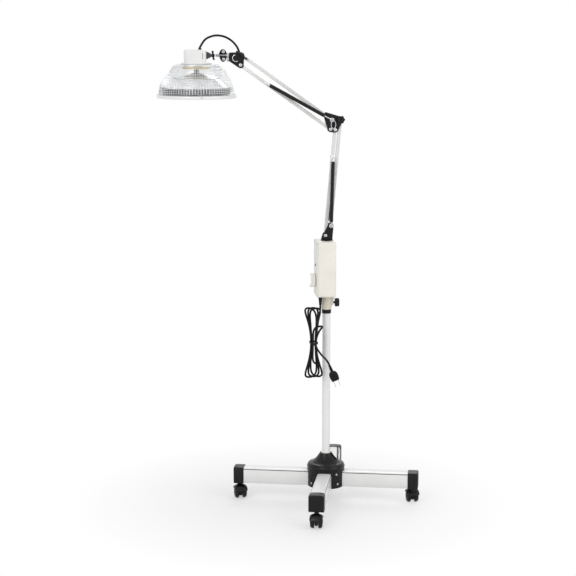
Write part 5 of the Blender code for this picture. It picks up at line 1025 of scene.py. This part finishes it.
def turned_axes(z_axis, x_zero, degrees):
    """Axes that point z along an axis and turn x about it by an angle, from a first direction."""
    z_axis, x_zero = np.array(z_axis, float), np.array(x_zero, float)
    t = np.radians(degrees)
    x = x_zero * np.cos(t) + np.cross(z_axis, x_zero) * np.sin(t)
    return {"x": x, "y": np.cross(z_axis, x), "z": z_axis}


knob_axes = turned_axes((0, -1, 0), (1, 0, 0), 143)
knob_place = WRIST_D - (0, CHEEK_OUT + GAP, 0)
piece("bracket_wing_knob", moved(wing_shape(0.0185), origin=knob_place, **knob_axes), black_abs,
      "bracket_dial", replaces="bracket_knob")
print("head bracket made")

# %% [markdown]
# ## Springs
# Each half of the arm is balanced by two tension springs in black vinyl sleeves, one on each side.
# A bright wire hook joins each end: one to the bracket's pin, one to a ring pin through the bar.

# %% Springs
RING_AT, SPRING_SIDE, WIRE, EYE_RADIUS, RING_CLEAR = 0.212, 0.0142, 0.0011, 0.0046, 0.012


def eye_hook(at, towards, length):
    """Wire ring round y at z = at, then a straight shank along z towards the sleeve."""
    open_end, closed_end = np.pi / 2 - 0.35, 1.5 * np.pi
    ends = (-open_end, closed_end) if towards > 0 else (-closed_end, open_end)
    a = np.linspace(*ends, 40)
    ring = np.stack([EYE_RADIUS * np.cos(a), 0 * a, at + EYE_RADIUS * np.sin(a)], -1)
    shank_z = at + towards * np.linspace(0.0052, length, 12)
    shank = np.stack([0 * shank_z, 0 * shank_z, shank_z], -1)
    return joined([swept(ring, WIRE, (0, 1, 0), 12), swept(shank, WIRE, (0, 1, 0), 12)])


def spring_pair(start, ring, hook):
    """Sleeves and hooks in a frame whose z runs from the bracket's pin to the ring."""
    way = ring - start
    length = float(np.linalg.norm(way))
    way = way / length
    axes = {"x": np.cross((0, 1, 0), way), "y": (0, 1, 0), "z": way}
    z = np.linspace(hook, length - RING_CLEAR, 90)
    coil = 0.00012 * np.cos((z - hook) / 0.0024 * np.pi)
    ends = np.clip(np.minimum(z - hook, length - RING_CLEAR - z) / 0.003, 0, 1)
    radius = 0.0034 + 0.0015 * np.sqrt(1 - (1 - ends) ** 2) + coil
    profile = np.column_stack([radius, z])
    sleeve = turned(np.concatenate([[(0.0, hook)], profile, [(0.0, length - RING_CLEAR)]]), 32)
    sleeves, wires = [], []
    for side in (-SPRING_SIDE, SPRING_SIDE):
        sleeves.append(moved(sleeve, origin=start + (0, side, 0), **axes))
        wires.append(moved(eye_hook(0.0, 1, hook + 0.004), origin=start + (0, side, 0), **axes))
        wires.append(moved(eye_hook(length, -1, 0.016), origin=start + (0, side, 0), **axes))
    wires.append(lathe([(0.0, -0.0176), (0.0022, -0.0176), (0.0026, -0.017), (0.0026, 0.017),
                        (0.0022, 0.0176), (0.0, 0.0176)], 24, origin=ring, **ALONG_MINUS_Y))
    return joined(sleeves), joined(wires)


for name, start, bar_start, way, hook, bodies in (
        ("lower_springs", PIVOT_B, PIVOT_A, LOWER_WAY, 0.01, ("arm_foot", "lower_arm")),
        ("upper_springs", ELBOW_D, ELBOW_C, UPPER_WAY, 0.023, ("elbow", "upper_arm"))):
    ring = bar_start + way * RING_AT
    sleeves, wires = spring_pair(start, ring, hook)
    bent_piece(name + "_sleeves", sleeves, sleeve_vinyl, replaces=name)
    bent_piece(name + "_hooks", wires, bright_wire)
print("springs made")

# %% [markdown]
# ## Head joint
# The lamp's rod runs through the bracket's web and between two black jaws held by screws. A wing nut
# locks it. Its flat eye sits in the grey fork on the side of the head.

# %% Jaws, rod, wing nut and fork
ROD_PLACE = np.array([WRIST_C[0], 0, 1.21503])


def ellipse(centre, half_x, half_z, start, end, steps=20):
    t = np.linspace(start, end, steps)
    return np.column_stack([centre + half_x * np.cos(t), half_z * np.sin(t)])


upper_jaw = np.concatenate([ellipse(-0.04555, 0.01025, 0.016, 0.3, np.pi - 0.12),
                            [(-0.0556, 0.0047), (-0.0357, 0.0047)]])
lower_jaw = np.concatenate([ellipse(-0.045, 0.0095, 0.0168, np.pi + 0.12, 2 * np.pi - 0.3),
                            [(-0.0359, -0.0047), (-0.0544, -0.0047)]])
jaws = [moved(slab(shape, -0.009, 0.009, 0.0006), **ALONG_MINUS_Y) for shape in (upper_jaw, lower_jaw)]
jaws.append(moved(soft_block((0.007, 0.0018, 0.0062), 0.0008, 0.0004, 3), origin=(-0.043, 0.0071, 0)))
piece("rod_jaws", moved(joined(jaws), origin=ROD_PLACE), black_abs, "wrist", replaces="clamp_jaws")
barrel = rounded([(0.0, 0.0298), (0.0058, 0.0298), (0.0062, 0.0303), (0.0062, 0.0352), (0.0, 0.0352)],
                 0.0003, 3)
barrels = [lathe(barrel, 48, origin=ROD_PLACE - (0, 0, drop), **ALONG_MINUS_X) for drop in (0.0, 0.01)]
piece("rod_barrels", joined(barrels), zinc_steel, "wrist")
for number, (x, z) in enumerate(((-0.0446, 0.0098), (-0.044, -0.0098)), 1):
    screw_at(f"jaw_screw_{number}", ROD_PLACE + (x, -0.009, z), (0, -1, 0), 0.004, 0.0012, "wrist")

rod = rounded([(0.0, 0.0155), (0.0042, 0.0155), (0.0046, 0.016), (0.0046, 0.0612), (0.0034, 0.0625),
               (0.0028, 0.0632), (0.0028, 0.077), (0.0, 0.077)], 0.0004, 3)
rod_part = turned(rod, 48)
rod_points = rod_part[0].copy()
groove = (np.abs(rod_points[:, 0]) < 0.0006) & (np.hypot(rod_points[:, 0], rod_points[:, 1]) > 0.003)
rod_points[groove, 1] *= 0.8
eye = rounded([(0.0, -0.0025), (0.0044, -0.0025), (0.0048, -0.0021), (0.0048, 0.0021), (0.0044, 0.0025),
               (0.0, 0.0025)], 0.0003, 3)
rod_parts = [moved((rod_points, rod_part[1]), origin=ROD_PLACE, **ALONG_MINUS_X),
             lathe(eye, 40, origin=ROD_PLACE - (0.0806, 0, 0), **ALONG_MINUS_Y)]
piece("lamp_rod", joined(rod_parts), zinc_steel, "head_rod", replaces="clamp_rods")
nut_place = np.array([-0.20225 - 0.0035, 0, ROD_PLACE[2]])
nut_axes = turned_axes((1, 0, 0), (0, 0, 1), 10)
piece("lamp_wing_nut", moved(wing_shape(0.0125, 0.004, -0.0019), origin=nut_place, **nut_axes), black_abs,
      "rod_nut", replaces="wing_nut")

TILT = np.array([-0.21165, 0, ROD_PLACE[2]])
fork_outline = hull([(0.0, 0.0, 0.0058), (-0.0079 + 0.001, 0.0085 - 0.001, 0.002),
                     (-0.0079 + 0.001, -0.0075, 0.002)], 12)
fork_outline[:, 0] = np.maximum(fork_outline[:, 0], -0.0089)
forks = [moved(slab(fork_outline, lower, upper, 0.0004), origin=TILT, **ALONG_MINUS_Y)
         for lower, upper in ((-0.0075, -0.0029), (0.0029, 0.0075))]
back = moved(soft_block((0.0012, 0.0074, 0.009), 0.001, 0.0003, 3), origin=TILT - (0.0077, 0, 0))
tilt_pin = lathe([(0.0, -0.008), (0.0022, -0.008), (0.0022, 0.008), (0.0, 0.008)], 28, 0.0004, 3, origin=TILT,
                 **ALONG_MINUS_Y)
piece("tilt_fork", joined([*forks, back, tilt_pin]), cast_grey, "head", replaces="knuckle")
print("head joint made")

# %% [markdown]
# ## Lamp head
# A white enamelled cap with a narrow vent slot stands on a round flange. Below it hangs a hood of
# welded wire, clamped in a white rim, with an amber ceramic ring at its top.

# %% Cap with its slot, and the flange
HEAD = np.array([-0.24625, 0, 1.21503])
CAP_X, CAP_HALF_X, CAP_HALF_Y, CAP_CORNER = -0.0034, 0.0288, 0.0265, 0.009
CAP_LOW, CAP_HIGH, CAP_EDGE = -0.0193, 0.0152, 0.003
SLOT_X, SLOT_HALF, SLOT_LOW, SLOT_HIGH = 0.0188, 0.0006, -0.0093, 0.0062


def cap_shape():
    """Rows of one rounded outline, with closer columns at the slot, whose points are pushed inwards."""
    around = outline(CAP_HALF_X, CAP_HALF_Y, CAP_CORNER, 10)
    front = SLOT_X + np.array([0.0011, 0.0008, SLOT_HALF + 0.00002, SLOT_HALF, -SLOT_HALF,
                               -SLOT_HALF - 0.00002, -0.0008, -0.0011])[::-1]
    extra = np.column_stack([front, np.full(8, -CAP_HALF_Y)])
    around = np.concatenate([around[:30], extra, around[30:]])
    heights = [CAP_LOW, CAP_LOW + 0.0002, SLOT_LOW - 0.0004, SLOT_LOW - 0.00005, SLOT_LOW, SLOT_LOW + 0.0001,
               SLOT_HIGH - 0.0001, SLOT_HIGH, SLOT_HIGH + 0.00005, SLOT_HIGH + 0.0004]
    rows = []
    for z in heights:
        ring = around.copy()
        if SLOT_LOW <= z <= SLOT_HIGH:
            ring[33:35, 1] += 0.0034
            ring[32, 1] += 0.0002
            ring[35, 1] += 0.0002
        rows.append(at_height(ring, z))
    for t in np.linspace(0, np.pi / 2, 8):
        cut = CAP_EDGE * (1 - np.cos(t))
        ring = around * (1 - cut / np.array([CAP_HALF_X, CAP_HALF_Y]))
        rows.append(at_height(ring, CAP_HIGH - CAP_EDGE + CAP_EDGE * np.sin(t)))
    return net(np.array(rows), caps=True)


flange = rounded([(0.0, -0.0215), (0.0402, -0.0215), (0.0407, -0.0211), (0.0407, -0.0198), (0.0402, -0.0193),
                  (0.0, -0.0193)], 0.0002, 3)
cap_foot = soft_block((CAP_HALF_X + 0.0008, CAP_HALF_Y + 0.0008, 0.0006), CAP_CORNER, 0.0004, 3)
cap_parts = [moved(cap_shape(), origin=HEAD + (CAP_X, 0, 0)), lathe(flange, 96, origin=HEAD),
             moved(cap_foot, origin=HEAD + (CAP_X, 0, CAP_LOW + 0.0005))]
piece("lamp_cap", joined(cap_parts), white_enamel, "head", replaces="head_cap", sharp=35)
# A blue-grey sheet lines the slot's recess: painted shade.
slot_shade = soft_block((0.00058, 0.0002, (SLOT_HIGH - SLOT_LOW) / 2), 0.0001, 0.0001, 3)
slot_place = HEAD + (CAP_X + SLOT_X, -CAP_HALF_Y + 0.0006, (SLOT_HIGH + SLOT_LOW) / 2)
piece("slot_shade", moved(slot_shade, origin=slot_place), lens_grey_and_slot_shade, "head")

# %% [markdown]
# The hood's wires follow one curve: its profile is turned round the axis as meridians and crossed by
# rings of a thinner wire, about 7 mm apart, welded where they cross. Behind it a ring of small dark
# spots on the reflector and a dark collar round the heating disc are painted shade seen through the wires.

# %% Wire hood, rim, reflector
HOOD_R = (0.0392, 0.0615, 0.0734, 0.0843, 0.0905, 0.0957, 0.0984, 0.0995)
HOOD_Z = (-0.0226, -0.0262, -0.038, -0.0536, -0.064, -0.075, -0.0905, -0.0997)
hood_line = smooth_path(np.column_stack([HOOD_R, np.zeros(8), HOOD_Z]), 23)
MERIDIANS, MERIDIAN_WIRE, RING_WIRE = 84, 0.00062, 0.00055
wires = []
for angle in circle(MERIDIANS):
    around = np.array([np.cos(angle), np.sin(angle)])
    line = np.column_stack([hood_line[:, 0] * around[0], hood_line[:, 0] * around[1], hood_line[:, 2]])
    wires.append(swept(line, MERIDIAN_WIRE, (-around[1], around[0], 0), 6))


def wire_ring(radius, z, wire, steps=168, sides=6):
    a = circle(sides)
    return turned(np.column_stack([radius + wire * np.cos(a), z + wire * np.sin(a)]), steps, ring=True)


for radius, z in hood_line[1:-1, ::2]:
    wires.append(wire_ring(radius + 0.0006, z, RING_WIRE))
wires.append(wire_ring(hood_line[0, 0] + 0.0003, hood_line[0, 2] - 0.0002, 0.0009))
piece("wire_hood", moved(joined(wires), origin=HEAD), bright_wire, "head", replaces="guard_hood", sharp=80,
      outward=False)

rim = [(0.0937, -0.1026), (0.0937, -0.1018), (0.0945, -0.1012), (0.1025, -0.1012), (0.1034, -0.1009),
       (0.1046, -0.1009), (0.1052, -0.1016), (0.1052, -0.1088), (0.1047, -0.1096), (0.1038, -0.1097),
       (0.1034, -0.109), (0.1034, -0.1034), (0.1026, -0.1026)]
piece("rim_ring", lathe(rim, 144, ring=True, origin=HEAD), white_enamel, "head", replaces="guard_rim",
      sharp=50)
rim_angle = np.radians(-85)
rim_out = np.array([np.cos(rim_angle), np.sin(rim_angle), 0])
screw_at("rim_screw", HEAD + rim_out * 0.1051 + (0, 0, -0.1052), rim_out, 0.0021, 0.0008, "head")

ceramic = rounded([(0.032, -0.035), (0.0362, -0.035), (0.0365, -0.0346), (0.0365, -0.0222), (0.0362, -0.0218),
                   (0.032, -0.0218)], 0.0004, 3)
piece("ceramic_ring", lathe(ceramic, 96, ring=True, origin=HEAD), amber_glaze, "head",
      replaces="insulator_ring")
sheet = np.array([(0.011, -0.0462), (0.056, -0.057), (0.085, -0.085), (0.088, -0.099), (0.097, -0.1006)])
outside = rounded(sheet, 0.008, 8)
inside = rounded(sheet - (0.0006, 0.0011), 0.0075, 8)[::-1]
piece("spun_reflector", lathe(np.concatenate([outside, inside]), 120, ring=True, origin=HEAD), spun_sheet,
      "head", replaces="reflector", sharp=50)
# Dark collar round the heating disc and ring of small dark spots: painted shade inside the hood.
shade_collar = rounded([(0.0894, -0.098), (0.0902, -0.098), (0.0894, -0.0835), (0.0884, -0.0835)], 0.0002, 2)
SHADE_SPOT_RADIUS, SHADE_SPOT_Z = 0.0585, -0.0592
shade_spot = soft_block((0.0012, 0.0013, 0.0009), 0.0004, 0.0003, 3)
shade_spots = [moved(shade_spot, origin=(SHADE_SPOT_RADIUS * np.sin(a), -SHADE_SPOT_RADIUS * np.cos(a), SHADE_SPOT_Z),
               **turned_axes((0, 0, 1), (0, -1, 0), np.degrees(a))) for a in circle(44)]
piece("reflector_painted_shade", moved(joined([turned(shade_collar, 120, ring=True), *shade_spots]), origin=HEAD), cast_grey,
      "head", sharp=60)
plate = rounded([(0.0, -0.0935), (0.078, -0.0935), (0.08, -0.0915), (0.08, -0.088), (0.077, -0.0875),
                 (0.012, -0.0875), (0.006, -0.085), (0.006, -0.0218), (0.0, -0.0218)], 0.0012, 4)
piece("heating_disc", lathe(plate, 120, origin=HEAD), mineral_plate, "head", replaces="heater_plate")

# %% [markdown]
# The face that warms the body is covered by an open guard: rings and spokes of stiff wire on a small
# round plate.

# %% Bottom guard
guard = [wire_ring(radius, -0.1033, 0.0007, 120, 8) for radius in (0.029, 0.0474, 0.0657, 0.0841, 0.1022)]
for angle in circle(12):
    line = np.linspace(0.009, 0.1022, 16)
    spoke = np.column_stack([line * np.cos(angle), line * np.sin(angle), np.full(16, -0.1033)])
    guard.append(swept(spoke, 0.0007, (0, 0, 1), 8))
guard.append(lathe([(0.0, -0.104), (0.0105, -0.104), (0.011, -0.1036), (0.011, -0.1029), (0.0105, -0.1026),
                    (0.0, -0.1026)], 48, 0.0002, 3))
piece("face_guard", moved(joined(guard), origin=HEAD), bright_wire, "head",
      replaces="bottom_guard", sharp=80, outward=False)
print("head made")

# %% [markdown]
# ## Head lead
# A short black lead leaves the cap, arches over the wing nut and goes into the end of the upper bar.
# It crosses the tilt and the roll of the head, so it is made of two lengths that meet over the rod.

# %% Head lead
LEAD_RADIUS, LEAD_SPLIT = 0.0028, 42
lead_start = HEAD + (0.0097, 0, 0.0155)
arch = [(0.0125, 0.024), (0.027, 0.0325), (0.0446, 0.036), (0.065, 0.0325), (0.0827, 0.0224),
        (0.0955, 0.0087), (0.1015, -0.0035)]
lead = smooth_path([lead_start, lead_start + (0, 0, 0.0048), *[lead_start + (x, 0, z) for x, z in arch],
                    WRIST_D + UPPER_WAY * (BAR_OVER + GAP)], 97)
bent_piece("lead_from_cap", swept(lead[:LEAD_SPLIT + 1], LEAD_RADIUS, (0, 1, 0), 20), cord_rubber,
           replaces="head_lead", sharp=60)
bent_piece("lead_to_bar", swept(lead[LEAD_SPLIT:], LEAD_RADIUS, (0, 1, 0), 20), cord_rubber,
           sharp=60)
collar_profile = rounded([(0.0, 0.0), (0.0048, 0.0), (0.0048, 0.0012), (0.004, 0.0026), (0.0034, 0.004),
                          (0.0, 0.004)], 0.0004, 3)
piece("lead_grommet", lathe(collar_profile, 36, origin=lead_start - (0, 0, 0.0004)), black_abs, "head")
print("head lead:", round(float(np.linalg.norm(np.diff(lead, axis=0), axis=1).sum()), 3), "m")

# %% [markdown]
# ## Room and light
# The photo is a cut-out on white, lit softly from all around. The floor keeps the soft shadow.

# %% World, floor and lights
scene = bpy.context.scene
scene.view_settings.view_transform = "Standard"
world = bpy.data.worlds.new("white_room")
scene.world = world
world.use_nodes = True
tree = world.node_tree
rays = add(tree, "ShaderNodeLightPath")
seen = add(tree, "ShaderNodeMath", {0: rays.outputs["Is Camera Ray"], 1: rays.outputs["Is Transmission Ray"]},
           operation="MAXIMUM")
seen = add(tree, "ShaderNodeMath", {0: seen.outputs[0], 1: rays.outputs["Is Glossy Ray"]},
           operation="MAXIMUM")
background = tree.nodes["Background"]
strength = add(tree, "ShaderNodeMapRange", {"Value": seen.outputs[0], "To Min": 0.58, "To Max": 1.0})
background.inputs["Color"].default_value = (1, 1, 1, 1)
tree.links.new(strength.outputs["Result"], background.inputs["Strength"])

floor_finish = bpy.data.materials.new("white_floor")
floor_finish.use_nodes = True
tree = floor_finish.node_tree
output = tree.nodes["Material Output"]
shader = tree.nodes["Principled BSDF"]
shader.inputs["Base Color"].default_value = linear("#F0F0F0")
shader.inputs["Roughness"].default_value = 0.9
where = add(tree, "ShaderNodeTexCoord").outputs["Object"]
away = add(tree, "ShaderNodeVectorMath", {0: where}, operation="LENGTH")
fade = add(tree, "ShaderNodeMapRange", {"Value": away.outputs["Value"], "From Min": 0.22, "From Max": 0.6,
                                         "To Min": 0.45})
rays = add(tree, "ShaderNodeLightPath")
seen = add(tree, "ShaderNodeMath", {0: rays.outputs["Is Camera Ray"], 1: rays.outputs["Is Glossy Ray"]},
           operation="MAXIMUM")
keep = add(tree, "ShaderNodeMath", {0: fade.outputs["Result"], 1: seen.outputs[0]}, operation="MULTIPLY")
glow = add(tree, "ShaderNodeEmission", {"Color": (1, 1, 1, 1), "Strength": 1.0})
mix = add(tree, "ShaderNodeMixShader", {0: keep.outputs[0], 1: shader.outputs[0], 2: glow.outputs[0]})
tree.links.new(mix.outputs[0], output.inputs["Surface"])
floor_mesh = bpy.data.meshes.new("floor")
floor_mesh.from_pydata([(-3, -3, 0), (3, -3, 0), (3, 3, 0), (-3, 3, 0)], [], [(0, 1, 2, 3)])
floor_mesh.materials.append(floor_finish)
floor = bpy.data.objects.new("floor", floor_mesh)
scene.collection.objects.link(floor)
for name, place, size, watts in (("key", (-1.6, -2.6, 2.6), 1.6, 37), ("fill", (2.2, -1.8, 1.6), 1.8, 20),
                                 ("rim", (0.6, 2.4, 2.4), 1.4, 18)):
    lamp = bpy.data.lights.new(name, "AREA")
    lamp.size, lamp.energy = size, watts
    light = bpy.data.objects.new(name, lamp)
    light.location = place
    light.rotation_euler = (Vector((0, 0, 0.7)) - Vector(place)).to_track_quat("-Z", "Y").to_euler()
    scene.collection.objects.link(light)
